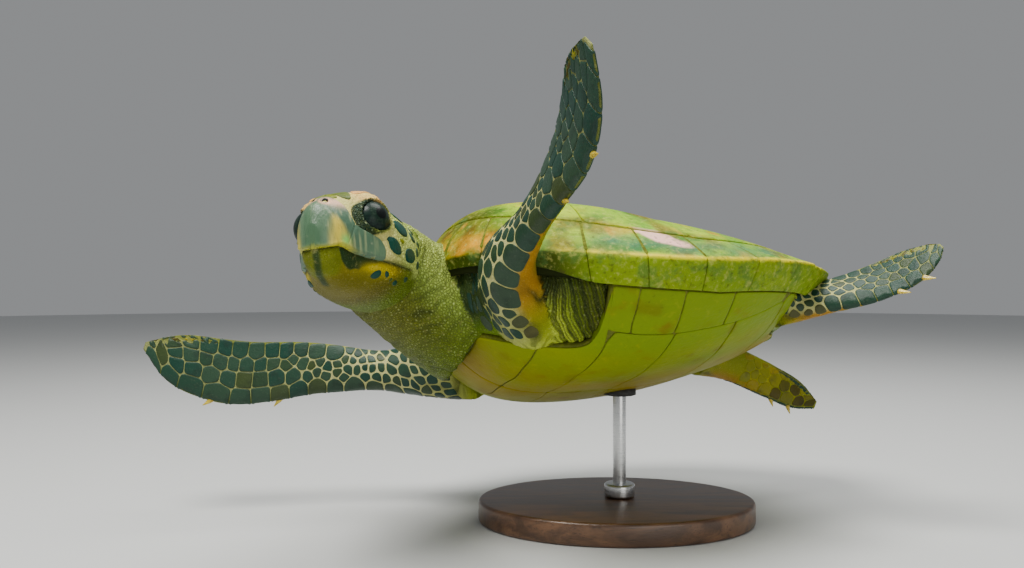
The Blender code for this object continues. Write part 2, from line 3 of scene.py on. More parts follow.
import bmesh
import bpy
import numpy as np
from mathutils import Matrix, Vector, kdtree
from mathutils.bvhtree import BVHTree


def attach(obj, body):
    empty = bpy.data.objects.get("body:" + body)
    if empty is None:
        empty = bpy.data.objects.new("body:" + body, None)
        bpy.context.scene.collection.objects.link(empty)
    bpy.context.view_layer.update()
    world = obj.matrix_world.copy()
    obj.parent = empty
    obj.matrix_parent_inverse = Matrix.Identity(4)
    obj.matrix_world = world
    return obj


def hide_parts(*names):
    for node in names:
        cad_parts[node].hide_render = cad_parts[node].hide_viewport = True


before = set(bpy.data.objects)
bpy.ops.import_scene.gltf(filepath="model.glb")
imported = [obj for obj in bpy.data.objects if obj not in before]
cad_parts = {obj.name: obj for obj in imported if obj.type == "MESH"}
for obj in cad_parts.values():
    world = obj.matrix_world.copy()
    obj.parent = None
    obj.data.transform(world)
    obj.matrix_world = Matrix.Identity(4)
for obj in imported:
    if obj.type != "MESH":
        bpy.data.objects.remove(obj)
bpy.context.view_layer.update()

for thing in bpy.context.selected_objects:
    thing.select_set(False)

# ------------------------------------------------------------------ bony carapace
# The back of the shell is a wall of bone, domed above and turned in under the rim.  It is
# shaped in the body frame, +X to the beak, +Y to the turtle's left and +Z to its back, and
# banked over the stand.  Its dark sutures show between the horn plates that grow on it.
BODY_TURN = (17.1, 1.5, -161.6)
BODY_PLACE = (0.0, 0.0, 0.185)
SHELL_LENGTH, SHELL_MID_X, HALF_WIDTH = 0.400, -0.017, 0.166
DOME, BELLY, NUCHAL_RISE, TAIL_RISE = 0.081, 0.066, 0.038, 0.013
BELLY_MID_X, TOP_X = 0.012, 0.032
SHELL_WALL = 0.006
LIP_SIDE, LIP_FRONT, LIP_REAR = 0.905, 0.975, 0.90
PLATE_SINK = 0.0013


def seat(place, turn):
    """Rotation and place of a frame, from Euler angles in degrees."""
    matrix = np.eye(3)
    for axis, angle in zip("XYZ", turn):
        matrix = np.array(Matrix.Rotation(math.radians(angle), 3, axis)) @ matrix
    return matrix, np.array(place)


BODY_AXES, BODY_PLACE = seat(BODY_PLACE, BODY_TURN)


def to_world(points):
    return np.asarray(points) @ BODY_AXES.T + BODY_PLACE


def ramp(low, high, value):
    """0 below low, 1 above high, and a smooth rise between."""
    u = np.clip((value - low) / (high - low), 0, 1)
    return u * u * (3 - 2 * u)


def rim(theta):
    """Rim of the shell at angle theta, from the neck (0) round to the tail (pi)."""
    c, s = np.cos(theta), np.sin(theta)
    front, rear = np.clip(c, 0, 1), np.clip(-c, 0, 1)
    power = 0.86 - 0.14 * front + 0.75 * rear
    x = SHELL_MID_X + SHELL_LENGTH / 2 * c
    y = np.sign(s) * HALF_WIDTH * np.abs(s) ** power * (1 + 0.08 * c)
    z = NUCHAL_RISE * front ** 2 + TAIL_RISE * rear ** 2
    return x, y, z


def dome_point(theta, r):
    """Outer back of the shell, from its top (r = 0) to the rim (r = 1)."""
    x, y, z = rim(theta)
    c = np.cos(theta)
    power = 2.2 + 2.6 * np.clip(c, 0, 1) - 1.0 * np.clip(-c, 0, 1)
    height = DOME * np.clip(1 - r ** power, 0, 1) ** 0.95
    return np.stack(np.broadcast_arrays(TOP_X + r * (x - TOP_X), r * y, z * r**2 + height), -1)


def belly_point(theta, r):
    """Underside of the lens, from the middle of the plastron to the rim."""
    x, y, z = rim(theta)
    c = np.cos(theta)
    power = 3.0 + 2.2 * np.clip(c, 0, 1) - 1.3 * np.clip(-c, 0, 1)
    depth = BELLY * np.clip(1 - r ** power, 0, 1) ** 0.8
    return np.stack(np.broadcast_arrays(BELLY_MID_X + r * (x - BELLY_MID_X), r * y,
                                        z * r**4 - depth), -1)


def lip_radius(theta):
    """Where the underside of the marginal plates ends."""
    c = np.cos(theta)
    front, rear = np.clip(c, 0, 1), np.clip(-c, 0, 1)
    return LIP_SIDE + (LIP_FRONT - LIP_SIDE) * front**0.8 + (LIP_REAR - LIP_SIDE) * rear**2


def carapace_profile(theta):
    """Section of the back's wall from its top over the rim and back inside."""
    lip = lip_radius(theta)
    rows = [dome_point(theta, r) - (0, 0, PLATE_SINK) for r in np.linspace(0, 0.985, 40)]
    edge = belly_point(theta, 0.985)
    rows += [edge + (0, 0, 0.0025), edge + (0, 0, 0.0015)]
    rows += [belly_point(theta, 0.98 - (0.98 - lip) * k) + (0, 0, 0.0016) for k in (0.3, 0.6, 1.0)]
    roof = [dome_point(theta, (lip - 0.035) * k) - (0, 0, SHELL_WALL) for k in (1, 0.8, 0.55, 0.1)]
    return rows + roof


def band(count, around, first=0):
    """Quads of a tube or sheet: count rings of around points, closed round if around < 0."""
    closed, n = around < 0, abs(around)
    i, j = np.meshgrid(np.arange(count - 1), np.arange(n if closed else n - 1), indexing="ij")
    k = (j + 1) % n
    quads = np.stack([i * n + j, i * n + k, (i + 1) * n + k, (i + 1) * n + j], -1)
    return (quads.reshape(-1, 4) + first).tolist()


def tube(rings):
    """Points and faces of a closed body through rings."""
    count, sides = rings.shape[:2]
    points = np.concatenate([rings.reshape(-1, 3), rings[:1].mean(1), rings[-1:].mean(1)])
    faces = band(count, -sides)
    low, high = count * sides, count * sides + 1
    faces += [(low, (j + 1) % sides, j) for j in range(sides)]
    first = (count - 1) * sides
    faces += [(high, first + j, first + (j + 1) % sides) for j in range(sides)]
    return points, faces


def mesh_object(name, points, faces, ink=None):
    """A piece from points in the body frame."""
    mesh = bpy.data.meshes.new(name)
    mesh.from_pydata(to_world(points).tolist(), [], [tuple(map(int, f)) for f in faces])
    mesh.update()
    mesh.shade_smooth()
    made = bpy.data.objects.new(name, mesh)
    bpy.context.collection.objects.link(made)
    if ink:
        mesh.materials.append(ink.material)
    return made


def face_out(made, merge=0.0):
    """Merge doubles and turn all faces outwards."""
    shape = bmesh.new()
    shape.from_mesh(made.data)
    if merge:
        bmesh.ops.remove_doubles(shape, verts=shape.verts, dist=merge)
    bmesh.ops.recalc_face_normals(shape, faces=shape.faces)
    shape.to_mesh(made.data)
    shape.free()
    return made


def points_of(made):
    flat = np.empty(len(made.data.vertices) * 3)
    made.data.vertices.foreach_get("co", flat)
    return (flat.reshape(-1, 3) - BODY_PLACE) @ BODY_AXES


def put(made, name, values):
    """Store a value or a colour for each point of a piece."""
    values = np.asarray(values, np.float32)
    if values.ndim == 1:
        made.data.attributes.new(name, "FLOAT", "POINT").data.foreach_set("value", values)
    else:
        full = np.concatenate([values, np.ones((len(values), 1), np.float32)], 1)
        made.data.attributes.new(name, "FLOAT_COLOR", "POINT").data.foreach_set(
            "color", full.ravel())


class Sock:
    """A socket of a finish that can be used in Python sums."""

    def __init__(self, ink, out):
        self.ink, self.out = ink, out

    def _math(self, operation, *values):
        return self.ink.node("Math", {"operation": operation}, values)

    def __add__(self, other):
        return self._math("ADD", self, other)

    def __rsub__(self, other):
        return self._math("SUBTRACT", other, self)

    def __mul__(self, other):
        return self._math("MULTIPLY", self, other)

    __radd__ = __add__
    __rmul__ = __mul__

    def step(self, low, high):
        """0 below low, 1 above high."""
        return self.ink.node("MapRange", {"interpolation_type": "SMOOTHSTEP"},
                             {"Value": self, "From Min": low, "From Max": high})


class Ink:
    """One finish: a shader whose colour, roughness and bump come from node maths."""

    def __init__(self, name, roughness=0.5, **constants):
        self.material = bpy.data.materials.new(name)
        self.material.use_nodes = True
        self.tree = self.material.node_tree
        self.shader = self.tree.nodes["Principled BSDF"]
        self.shader.inputs["Roughness"].default_value = roughness
        for key, value in constants.items():
            self.shader.inputs[key.replace("_", " ")].default_value = value
        self.place = self.node("TexCoord", {}, {}, "Object")

    def plug(self, socket, value):
        if isinstance(value, Sock):
            self.tree.links.new(value.out, socket)
        elif hasattr(value, "__len__") and len(value) == 3 and socket.type == "RGBA":
            socket.default_value = (*value, 1.0)
        else:
            socket.default_value = value

    def node(self, kind, settings, values, out=0):
        made = self.tree.nodes.new("ShaderNode" + kind)
        for key, value in settings.items():
            setattr(made, key, value)
        items = values.items() if isinstance(values, dict) else enumerate(values)
        for key, value in items:
            self.plug(made.inputs[key], value)
        return Sock(self, made.outputs[out])

    def noise(self, scale, detail=3.0, rough=0.55, where=None, distort=0.0):
        return self.node("TexNoise", {}, {"Vector": where or self.place, "Scale": scale,
                                          "Detail": detail, "Roughness": rough,
                                          "Distortion": distort})

    def cells(self, scale, feature="DISTANCE_TO_EDGE"):
        return self.node("TexVoronoi", {"feature": feature},
                         {"Vector": self.place, "Scale": scale}, "Distance")

    def stretch(self, scale):
        return self.node("Mapping", {}, {"Vector": self.place, "Scale": scale})

    def attribute(self, name, out="Fac"):
        return self.node("Attribute", {"attribute_name": name}, {}, out)

    def blend(self, a, b, share):
        return self.node("Mix", {"data_type": "RGBA"}, {0: share, 6: a, 7: b}, 2)

    def set(self, socket, value):
        self.plug(self.shader.inputs[socket], value)

    def bump(self, *layers):
        """Bumps on one another, each a height and its depth in metres."""
        below = {}
        for height, depth in layers:
            normal = self.node("Bump", {}, {"Height": height, "Distance": depth, **below})
            below = {"Normal": normal}
        self.set("Normal", normal)


thetas = np.linspace(-math.pi, math.pi, 361)[:-1]
bone_points, bone_faces = tube(np.stack(carapace_profile(thetas)))
bone = face_out(mesh_object("carapace", bone_points, bone_faces), merge=1e-5)
x, y, z = points_of(bone).T
# painted shade: the bone below the rim is darkened towards the front, where the rim shades it
below_rim = ramp(0.001, -0.001, z - rim(np.arctan2(y, x - SHELL_MID_X))[2])
put(bone, "shade", ramp(0.060, 0.095, x) * below_rim)
seam_and_shade_ink = Ink("seams_and_shade", 0.8, Specular_IOR_Level=0.05)
grit = seam_and_shade_ink.noise(300, 4)
gold = seam_and_shade_ink.blend((0.085, 0.100, 0.012), (0.15, 0.170, 0.020), grit.step(0.4, 0.65))
# the bone's own colour, with the dark mix as painted shade under the front of the rim
seam_and_shade_ink.set("Base Color", seam_and_shade_ink.blend(gold, (0.014, 0.019, 0.004), seam_and_shade_ink.attribute("shade")))
bone.data.materials.append(seam_and_shade_ink.material)
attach(bone, "root")
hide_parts("carapace")

# ------------------------------------------------------------------ horn plates of the back
# Thin plates of horn grow on the bone, five down the spine and four pairs beside them, eased
# down at their edges.  Algae, tan crust and one bleached patch cover their tortoiseshell.
MARGIN_INNER = 0.865
PATCH_REACH = 0.0013
SPINE_PLATES = [(0.128, 0), (0.068, 0), (-0.004, 0), (-0.076, 0), (-0.140, 0)]
SIDE_PLATES = [(0.104, 0.088), (0.036, 0.098), (-0.038, 0.096), (-0.106, 0.074)]
SPINE_SIZES = [0.070, 0.078, 0.078, 0.072, 0.060]
SIDE_SIZES = [0.090, 0.100, 0.098, 0.085]


def unit(v):
    v = np.asarray(v, float)
    return v / np.maximum(np.linalg.norm(v, axis=-1, keepdims=True), 1e-12)


def mottle(points, size, seed=0):
    """Smooth random values from -1 to 1 in space, in patches about size across."""
    p = np.asarray(points, float) / size + 31.7 + seed * 17.13
    cell = np.floor(p).astype(np.int64)
    f = p - cell
    f = f * f * (3 - 2 * f)
    total = 0.0
    for corner in range(8):
        step = np.array([corner & 1, corner >> 1 & 1, corner >> 2 & 1])
        c = cell + step
        h = c[..., 0] * 73856093 ^ c[..., 1] * 19349663 ^ c[..., 2] * 83492791
        h = (h ^ (h >> 13)) * 1274126177 & 0xFFFFFF
        h = (h ^ (h >> 9)) & 0xFFFF
        weight = np.where(step, f, 1 - f).prod(-1)
        total = total + weight * (h / 32767.5 - 1)
    return total


def tint(red, green, blue, depth=1.45):
    """A colour from 0 to 255 as a shader takes it, made purer by depth."""
    plain = np.array([(c / 255 / 12.92) if c < 10.3 else ((c / 255 + 0.055) / 1.055) ** 2.4
                      for c in (red, green, blue)])
    grey = plain @ (0.25, 0.65, 0.10)
    return np.clip(grey + (plain - grey) * depth, 0.0008, 1)


def mix(a, b, share):
    share = np.asarray(share)[..., None]
    return np.asarray(a) * (1 - share) + np.asarray(b) * share


def trim(outline, normal, offset):
    """The part of a convex outline on the near side of a line."""
    d = outline @ normal - offset
    if (d <= 0).all():
        return outline
    kept = []
    for i in range(len(outline)):
        j = (i + 1) % len(outline)
        if d[i] <= 0:
            kept.append(outline[i])
        if (d[i] <= 0) != (d[j] <= 0):
            kept.append(outline[i] + (outline[j] - outline[i]) * d[i] / (d[i] - d[j]))
    return np.array(kept).reshape(-1, 2)


def rounded(outline, radius, spacing):
    """Round an outline's corners and space its points evenly."""
    line = []
    for i in range(len(outline)):
        v = outline[i]
        near, far = outline[i - 1] - v, outline[(i + 1) % len(outline)] - v
        a = v + near * min(0.48, radius / max(np.hypot(*near), 1e-9))
        b = v + far * min(0.48, radius / max(np.hypot(*far), 1e-9))
        line += [(1 - u) ** 2 * a + 2 * u * (1 - u) * v + u * u * b for u in (0, .25, .5, .75, 1)]
    line = np.array(line + line[:1])
    arc = np.append(0, np.cumsum(np.hypot(*np.diff(line, axis=0).T)))
    s = np.arange(max(10, int(arc[-1] / spacing))) * arc[-1] / max(10, int(arc[-1] / spacing))
    return np.stack([np.interp(s, arc, line[:, k]) for k in (0, 1)], 1)


def cells(seeds, sizes, gap, start):
    """Ground of each seed among its neighbours, gap apart; larger seeds take more."""
    outlines = []
    for i, seed in enumerate(seeds):
        outline = start(i)
        toward = seeds - seed
        reach = np.hypot(*toward.T)
        for j in np.argsort(reach)[1:22]:
            d = reach[j]
            if d < 1e-6 or len(outline) < 3:
                continue
            share = np.clip(0.5 * d + (sizes[i] ** 2 - sizes[j] ** 2) / 8 / d, 0.25 * d, 0.75 * d)
            normal = toward[j] / d
            outline = trim(outline, normal, seed @ normal + share - gap / 2)
        outlines.append(outline)
    return outlines


class Plates:
    """Low domed plates in one mesh: closed solids standing on a chart of some surface."""

    def __init__(self):
        self.flat, self.lift, self.faces, self.marks, self.patch = [], [], [], [], []
        self.count = 0

    def add(self, outline, rings, marks=(), home=None):
        """A plate from its outline, (inset, lift) rings, marks and place on an unwrap."""
        middle = outline.mean(0)
        size = np.hypot(*(outline - middle).T).mean()
        steps = [(1 - inset / size, lift) for inset, lift in rings if inset < 0.93 * size]
        n = len(outline)
        flat = [middle + (outline - middle) * k for k, _ in steps] + [middle[None]] * 2
        lift = [np.full(n, h) for _, h in steps] + [[steps[-1][1] + 0.00003], [steps[0][1]]]
        first, top = self.count, self.count + n * len(steps)
        self.faces += band(len(steps), -n, first)
        last = top - n
        self.faces += [(top, last + j, last + (j + 1) % n) for j in range(n)]
        self.faces += [(top + 1, first + (j + 1) % n, first + j) for j in range(n)]
        flat = np.concatenate(flat)
        self.flat.append(flat)
        self.lift.append(np.concatenate(lift))
        self.marks.append(np.tile(marks, (len(flat), 1)))
        if home:
            self.patch.append(np.array(home) + (flat - middle) / size * PATCH_REACH)
        self.count += len(flat)

    def build(self, name, ground, ink):
        flat = np.concatenate(self.flat)
        base, out = ground(flat)
        made = mesh_object(name, base + out * np.concatenate(self.lift)[:, None], self.faces, ink)
        face_out(made)
        if self.patch:
            patch = np.concatenate(self.patch)
            corner = np.empty(len(made.data.loops), np.int64)
            made.data.loops.foreach_get("vertex_index", corner)
            chart = made.data.uv_layers.new(name="OFBake")
            chart.data.foreach_set("uv", patch[corner].astype(np.float32).ravel())
        return made


RIM_TABLE = np.linspace(-math.pi, math.pi, 2881)


def plan_to_shell(x, y, middle):
    """Angle and radius on the shell under a point of its plan."""
    rx, ry, _ = rim(RIM_TABLE)
    bearing = np.unwrap(np.arctan2(ry, rx - middle))
    theta = np.interp(np.arctan2(y, x - middle), bearing, RIM_TABLE)
    rx, ry, _ = rim(theta)
    return theta, np.hypot(x - middle, y) / np.hypot(rx - middle, ry)


def back_ground(flat):
    """Chart of the back: its plan in metres."""
    theta, r = plan_to_shell(flat[:, 0], flat[:, 1], TOP_X)
    r = np.minimum(r, 0.995)
    here = dome_point(theta, r)
    side = dome_point(theta + 0.01, r) - here
    out = dome_point(theta, r + 0.004) - here
    normal = unit(np.cross(out, side))
    normal = normal * np.sign(normal[:, 2:])
    near = np.hypot(flat[:, 0] - TOP_X, flat[:, 1]) < 0.004
    normal = np.where(near[:, None], (0, 0, 1), normal)
    return here - normal * PLATE_SINK, normal


def paint_back(made):
    """Algae greens, tan and bleached patches over tortoiseshell by place; painted shade at the front."""
    p = points_of(made)
    x, y, z = p.T
    over = z - rim(np.arctan2(y, x - SHELL_MID_X))[2]
    base = mix(tint(98, 140, 12), tint(162, 180, 22), 0.5 + 0.6 * mottle(p, 0.026, 31))
    base = mix(base, tint(50, 94, 44), ramp(0.05, 0.5, mottle(p * (1, 1, 2), 0.022, 32)) * 0.8)
    base = mix(base, tint(98, 74, 26), ramp(0.1, 0.6, mottle(p, 0.018, 33)) * 0.7)
    base = mix(base, tint(186, 150, 88), ramp(0.35, 0.8, mottle(p, 0.016, 34)) * 0.55)
    rear = ramp(-0.02, -0.12, x) * ramp(0.0, 0.012, over)
    base = mix(base, tint(150, 122, 62), rear * (0.30 + 0.35 * mottle(p, 0.014, 35)))
    teal = np.exp(-((over - 0.010) / 0.010) ** 2) * ramp(0.11, 0.07, x) * ramp(-0.10, -0.06, x)
    base = mix(base, tint(72, 108, 84), teal * (0.55 + 0.5 * mottle(p, 0.012, 36)))
    # painted shade: the front of the shell, turned from the light, is darkened brown
    front = ramp(0.115, 0.150, x)
    base = mix(base, tint(70, 48, 24), front * 0.65)
    crust = front * np.exp(-((over - 0.007) / 0.009) ** 2) * (0.7 + 0.9 * mottle(p, 0.008, 37))
    crust = crust + ramp(0.5, 0.9, mottle(p, 0.010, 37)) * 0.35
    base = mix(base, tint(208, 160, 66), np.clip(crust, 0, 1) * 0.75)
    dx, dy = x - 0.024, y - 0.150
    along, across = 0.92 * dx - 0.39 * dy, 0.39 * dx + 0.92 * dy
    blot = np.hypot(along / 0.022, across / 0.0070) + 0.35 * mottle(p, 0.010, 38)
    base = mix(base, tint(236, 196, 188), (1 - ramp(0.75, 1.1, blot)) * 0.9)
    under = ramp(0.0005, -0.0025, over)
    skirt = mix(tint(112, 132, 18), tint(126, 142, 28), 0.5 + 0.5 * mottle(p, 0.02, 39))
    skirt = mix(skirt, tint(84, 84, 26), ramp(0.45, 0.9, mottle(p, 0.009, 40)) * 0.35)
    # painted shade: the underside of the rim is darkened towards the front
    skirt = mix(skirt, tint(34, 44, 14), ramp(0.075, 0.115, x) * 0.9)
    line = np.exp(-((over + 0.0008) / 0.0016) ** 2)
    base = mix(base, skirt, under)
    base = mix(base, tint(222, 206, 118), line * 0.85 * ramp(0.120, 0.085, x))
    put(made, "paint", base)


seeds = np.array(SPINE_PLATES + SIDE_PLATES + [(x, -y) for x, y in SIDE_PLATES])
sizes = np.array(SPINE_SIZES + SIDE_SIZES * 2)
rim_x, rim_y, _ = rim(np.linspace(-math.pi, math.pi, 160, endpoint=False))
border = np.stack([TOP_X + MARGIN_INNER * (rim_x - TOP_X), MARGIN_INNER * rim_y], 1)
rings = [(0.0, 0.0), (0.0001, 0.0008), (0.0007, 0.00125), (0.002, 0.00135)]
rings += [(k * 0.004, 0.0014) for k in range(1, 14)]
back = Plates()
for outline in cells(seeds, sizes, 0.0004, lambda i: border):
    back.add(rounded(outline, 0.004, 0.0022), rings)

shell_ink = Ink("tortoiseshell", 0.45, Specular_IOR_Level=0.12)
seen = shell_ink.attribute("paint", "Color")
algae = shell_ink.noise(52, 5, 0.62)
fleck = shell_ink.noise(240, 4, 0.6)
scum = shell_ink.noise(900, 2)
spots = shell_ink.cells(150, feature="F1")
seen = shell_ink.blend(seen, (0.065, 0.15, 0.030), algae.step(0.50, 0.66) * 0.62)
seen = shell_ink.blend(seen, (0.050, 0.036, 0.008), fleck.step(0.54, 0.72) * 0.55)
seen = shell_ink.blend(seen, (0.46, 0.45, 0.10), fleck.step(0.50, 0.26) * 0.45)
seen = shell_ink.blend(seen, (0.50, 0.50, 0.10), (1 - spots.step(0.0, 0.22)) * 0.22)
shell_ink.set("Base Color", seen)
shell_ink.set("Roughness", algae * 0.35 + 0.40)
shell_ink.bump((fleck, 0.0009), (scum, 0.0003), (algae, 0.0016))
back_plates = back.build("back_plates", back_ground, shell_ink)
paint_back(back_plates)
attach(back_plates, "root")

# ------------------------------------------------------------------ horn plates of the rim
# A wide nuchal plate over the neck and twelve pairs of marginals fold round the rim and in
# under it, with a pale worn line along the fold.  Their rear tips stand out a little.
MARGINALS_A_SIDE = 12
NUCHAL_HALF_ANGLE = 0.30
RIM_PLATE_THICK = 0.00115
RIM_REACH, RIM_REACH_UNDER = 0.9955, 0.998


def serration(theta):
    """How far the tip of each marginal plate stands out, mostly along the rear half."""
    half_step = math.pi / MARGINALS_A_SIDE
    phase = np.mod(np.abs(theta), half_step) / half_step
    return 0.0028 * np.clip(0.3 - np.cos(theta), 0, 1) * (phase - 0.35)


def rim_ground(flat):
    """Chart of the marginals: angle round the shell, and 0 to 1 out to the rim, then under."""
    theta, q = flat[:, 0], flat[:, 1]
    lip = lip_radius(theta)
    top = dome_point(theta, MARGIN_INNER + 0.004 + (RIM_REACH - MARGIN_INNER) * np.clip(q, 0, 1))
    under_way = np.clip(q - 1, 0, 1)
    under_way = under_way * (1 - 0.50 * ramp(0.50, 0.72, np.cos(theta)))
    under = belly_point(theta, RIM_REACH_UNDER - (RIM_REACH_UNDER + 0.001 - lip) * under_way)
    x, y, _ = rim(theta)
    nick = serration(theta)
    outward = unit(np.stack([x - BELLY_MID_X, y + 1e-9, 0 * x], -1))
    near_rim = np.exp(-((q - 1) / 0.22) ** 2)
    blend = ramp(0.93, 1.07, q)[:, None]
    here = top * (1 - blend) + under * blend + outward * (nick * near_rim)[:, None]
    up = unit(np.stack([0.4 * outward[:, 0], 0.4 * outward[:, 1], 1 + 0 * x], -1))
    down = unit(np.stack([0.3 * outward[:, 0], 0.3 * outward[:, 1], -1 + 0 * x], -1))
    normal = unit(up * (1 - blend) + down * blend + outward * near_rim[:, None])
    sink = PLATE_SINK * (1 - blend[:, 0]) + 0.0002
    return here - normal * sink[:, None], normal


def grid_plate(plates, low, high, across, thick):
    """A plate on a rectangle of a chart, eased down at its edges."""
    nu, nv = across
    u, v = np.linspace(0, 1, nu), np.linspace(0, 1, nv)
    uu, vv = np.meshgrid(u, v, indexing="ij")
    edge = np.minimum(np.minimum(uu, 1 - uu) * (nu - 1), np.minimum(vv, 1 - vv) * (nv - 1))
    lift = thick * np.interp(edge, [0, 1, 2, 3], [0.0, 0.72, 0.95, 1.0])
    flat = np.stack([low[0] + (high[0] - low[0]) * uu, low[1] + (high[1] - low[1]) * vv], -1)
    top, base = np.concatenate([flat.reshape(-1, 2)] * 2), nu * nv
    first = plates.count
    faces = band(nu, nv, first) + [f[::-1] for f in band(nu, nv, first + base)]
    loop = [i * nv for i in range(nu)] + [(nu - 1) * nv + j for j in range(1, nv)]
    loop += [i * nv + nv - 1 for i in range(nu - 2, -1, -1)] + list(range(nv - 2, 0, -1))
    loop = [first + k for k in loop]
    faces += [(a, b, b + base, a + base) for a, b in zip(loop, loop[1:] + loop[:1])]
    plates.flat.append(top)
    plates.lift.append(np.concatenate([lift.ravel(), np.full(base, -0.0006)]))
    plates.faces += faces
    plates.count += 2 * base


rim_plates = Plates()
angles = np.linspace(NUCHAL_HALF_ANGLE, math.pi, MARGINALS_A_SIDE + 1)
spans = [(-NUCHAL_HALF_ANGLE, NUCHAL_HALF_ANGLE), *zip(angles, angles[1:])]
spans += [(-b, -a) for a, b in zip(angles, angles[1:])]
for a, b in spans:
    grid_plate(rim_plates, (a + 0.0010, 0.0), (b - 0.0010, 1.99), (34, 56), RIM_PLATE_THICK)
marginals = rim_plates.build("rim_plates", rim_ground, shell_ink)
paint_back(marginals)
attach(marginals, "root")

# ------------------------------------------------------------------ bony plastron
# The belly's bone is a nearly flat plate with a front lobe, a rear lobe and a bridge on each
# side that meets the carapace under the marginals.
PLASTRON_WALL = 0.005
LOBE_FRONT, LOBE_REAR, LOBE_HALF_FRONT, LOBE_HALF_REAR = 0.150, 0.158, 0.108, 0.070
BRIDGE_FRONT_X, BRIDGE_REAR_X = 0.072, -0.108
BELLY_BONE_LIFT = 0.0009


def plastron_radius(theta):
    """Outline of the plastron: two lobes and the bridges that reach the marginals."""
    x, y, _ = rim(theta)
    dx, dy = x - BELLY_MID_X, y
    reach = np.hypot(dx, dy)
    cos_p, sin_p = dx / reach, dy / reach
    length = np.where(cos_p > 0, LOBE_FRONT, LOBE_REAR)
    half = np.where(cos_p > 0, LOBE_HALF_FRONT, LOBE_HALF_REAR)
    lobe = (np.abs(cos_p / length) ** 2.5 + np.abs(sin_p / half) ** 2.5) ** (-1 / 2.5)
    ahead = (BRIDGE_FRONT_X - BELLY_MID_X) / np.maximum(cos_p, 1e-6)
    behind = (BELLY_MID_X - BRIDGE_REAR_X) / np.maximum(-cos_p, 1e-6)
    band_reach = np.minimum(np.where(cos_p > 0, ahead, behind), reach)
    both = (lobe ** 10 + band_reach ** 10) ** 0.1
    return np.minimum(both / reach, lip_radius(theta) - 0.004)


edge = plastron_radius(thetas)
rows = [belly_point(thetas, edge * k) + (0, 0, BELLY_BONE_LIFT)
        for k in (0.01, 0.2, 0.35, 0.5, 0.65, 0.78, 0.88, 0.96, 0.99)]
rows += [belly_point(thetas, edge * k) + (0, 0, PLASTRON_WALL) for k in (1.0, 0.95, 0.72, 0.4, 0.01)]
belly_points, belly_faces = tube(np.array(rows))
belly = face_out(mesh_object("plastron", belly_points, belly_faces), merge=1e-5)
suture = Ink("sutures", 0.7, Specular_IOR_Level=0.2)
grit = suture.noise(300, 4)
suture.set("Base Color", suture.blend((0.085, 0.098, 0.008), (0.14, 0.155, 0.012), grit.step(0.4, 0.65)))
belly.data.materials.append(suture.material)
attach(belly, "root")
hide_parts("plastron")

# ------------------------------------------------------------------ horn plates of the belly
# Six pairs of smooth horn plates cover the plastron, and four small ones each bridge.  They
# grow on the bone.  Their seams wander a little and show the darker bone between them.
BRIDGE_INNER = 0.122
HALF_GAP = 0.0004
SEAM_WANDER = 0.0024
# where the seams cross the middle, and how far each runs back at the side
SEAMS = [0.150, 0.116, 0.076, 0.018, -0.048, -0.104, -0.150]
SWEEP = [0.0, -0.004, -0.008, -0.004, 0.004, 0.010, 0.0]
BRIDGE_SEAMS = [0.069, 0.050, 0.014, -0.030, -0.090]


def belly_ground(flat):
    """Chart of the belly: its plan in metres."""
    theta, r = plan_to_shell(flat[:, 0], flat[:, 1], BELLY_MID_X)
    r = np.minimum(r, plastron_radius(theta) + 0.003)
    here = belly_point(theta, r)
    side = belly_point(theta + 0.01, r) - here
    out = belly_point(theta, r + 0.004) - here
    normal = unit(np.cross(side, out))
    normal = normal * -np.sign(normal[:, 2:])
    near = np.hypot(flat[:, 0] - BELLY_MID_X, flat[:, 1]) < 0.004
    normal = np.where(near[:, None], (0, 0, -1), normal)
    return here - normal * BELLY_BONE_LIFT, normal


def belly_border(x):
    """Half breadth of the plastron at x."""
    th = np.linspace(0, math.pi, 721)
    rx, ry, _ = rim(th)
    k = plastron_radius(th)
    px, py = BELLY_MID_X + k * (rx - BELLY_MID_X), k * ry
    order = np.argsort(px)
    return np.interp(x, px[order], py[order])


def belly_piece(x_front, x_rear, sweep_front, sweep_rear, inner, outer, side):
    """A plate between two swept seams, from inner to outer half breadth."""
    start = inner + HALF_GAP

    def reach(x):
        wide = np.maximum(belly_border(x) - 0.0002, start + 0.002)
        return np.minimum(wide, outer) if outer else wide

    def seam(x, sweep, gap):
        y = start + (reach(x + gap) - start) * np.linspace(0, 1, 22)
        wander = mottle(np.stack([0 * y + x, y, 0 * y], 1), 0.022, 44) * ramp(0.0, 0.010, y - inner)
        return np.stack([x + gap + sweep * (y / 0.1) ** 1.5 + SEAM_WANDER * wander, y], 1)

    front = seam(x_front, sweep_front, -HALF_GAP)
    rear = seam(x_rear, sweep_rear, HALF_GAP)
    xs = np.linspace(front[-1, 0], rear[-1, 0], 14)[1:-1]
    limit = reach(xs)
    outline = np.concatenate([front, np.stack([xs, limit], 1), rear[::-1]])
    outline[:, 1] *= side
    return outline


rings = [(0.0, 0.0), (0.0001, 0.0004), (0.0006, 0.0008), (0.0018, 0.0009)]
rings += [(k * 0.004, 0.0009) for k in range(1, 14)]
belly_cover = Plates()
for side in (1, -1):
    for k in range(6):
        outer = BRIDGE_INNER if 2 <= k <= 4 else None
        outline = belly_piece(SEAMS[k], SEAMS[k + 1], SWEEP[k], SWEEP[k + 1], 0.0, outer, side)
        belly_cover.add(rounded(outline, 0.003, 0.0022), rings)
    for a, b in zip(BRIDGE_SEAMS, BRIDGE_SEAMS[1:]):
        outline = belly_piece(a, b, 0.0, 0.0, BRIDGE_INNER, None, side)
        belly_cover.add(rounded(outline, 0.003, 0.0022), rings)

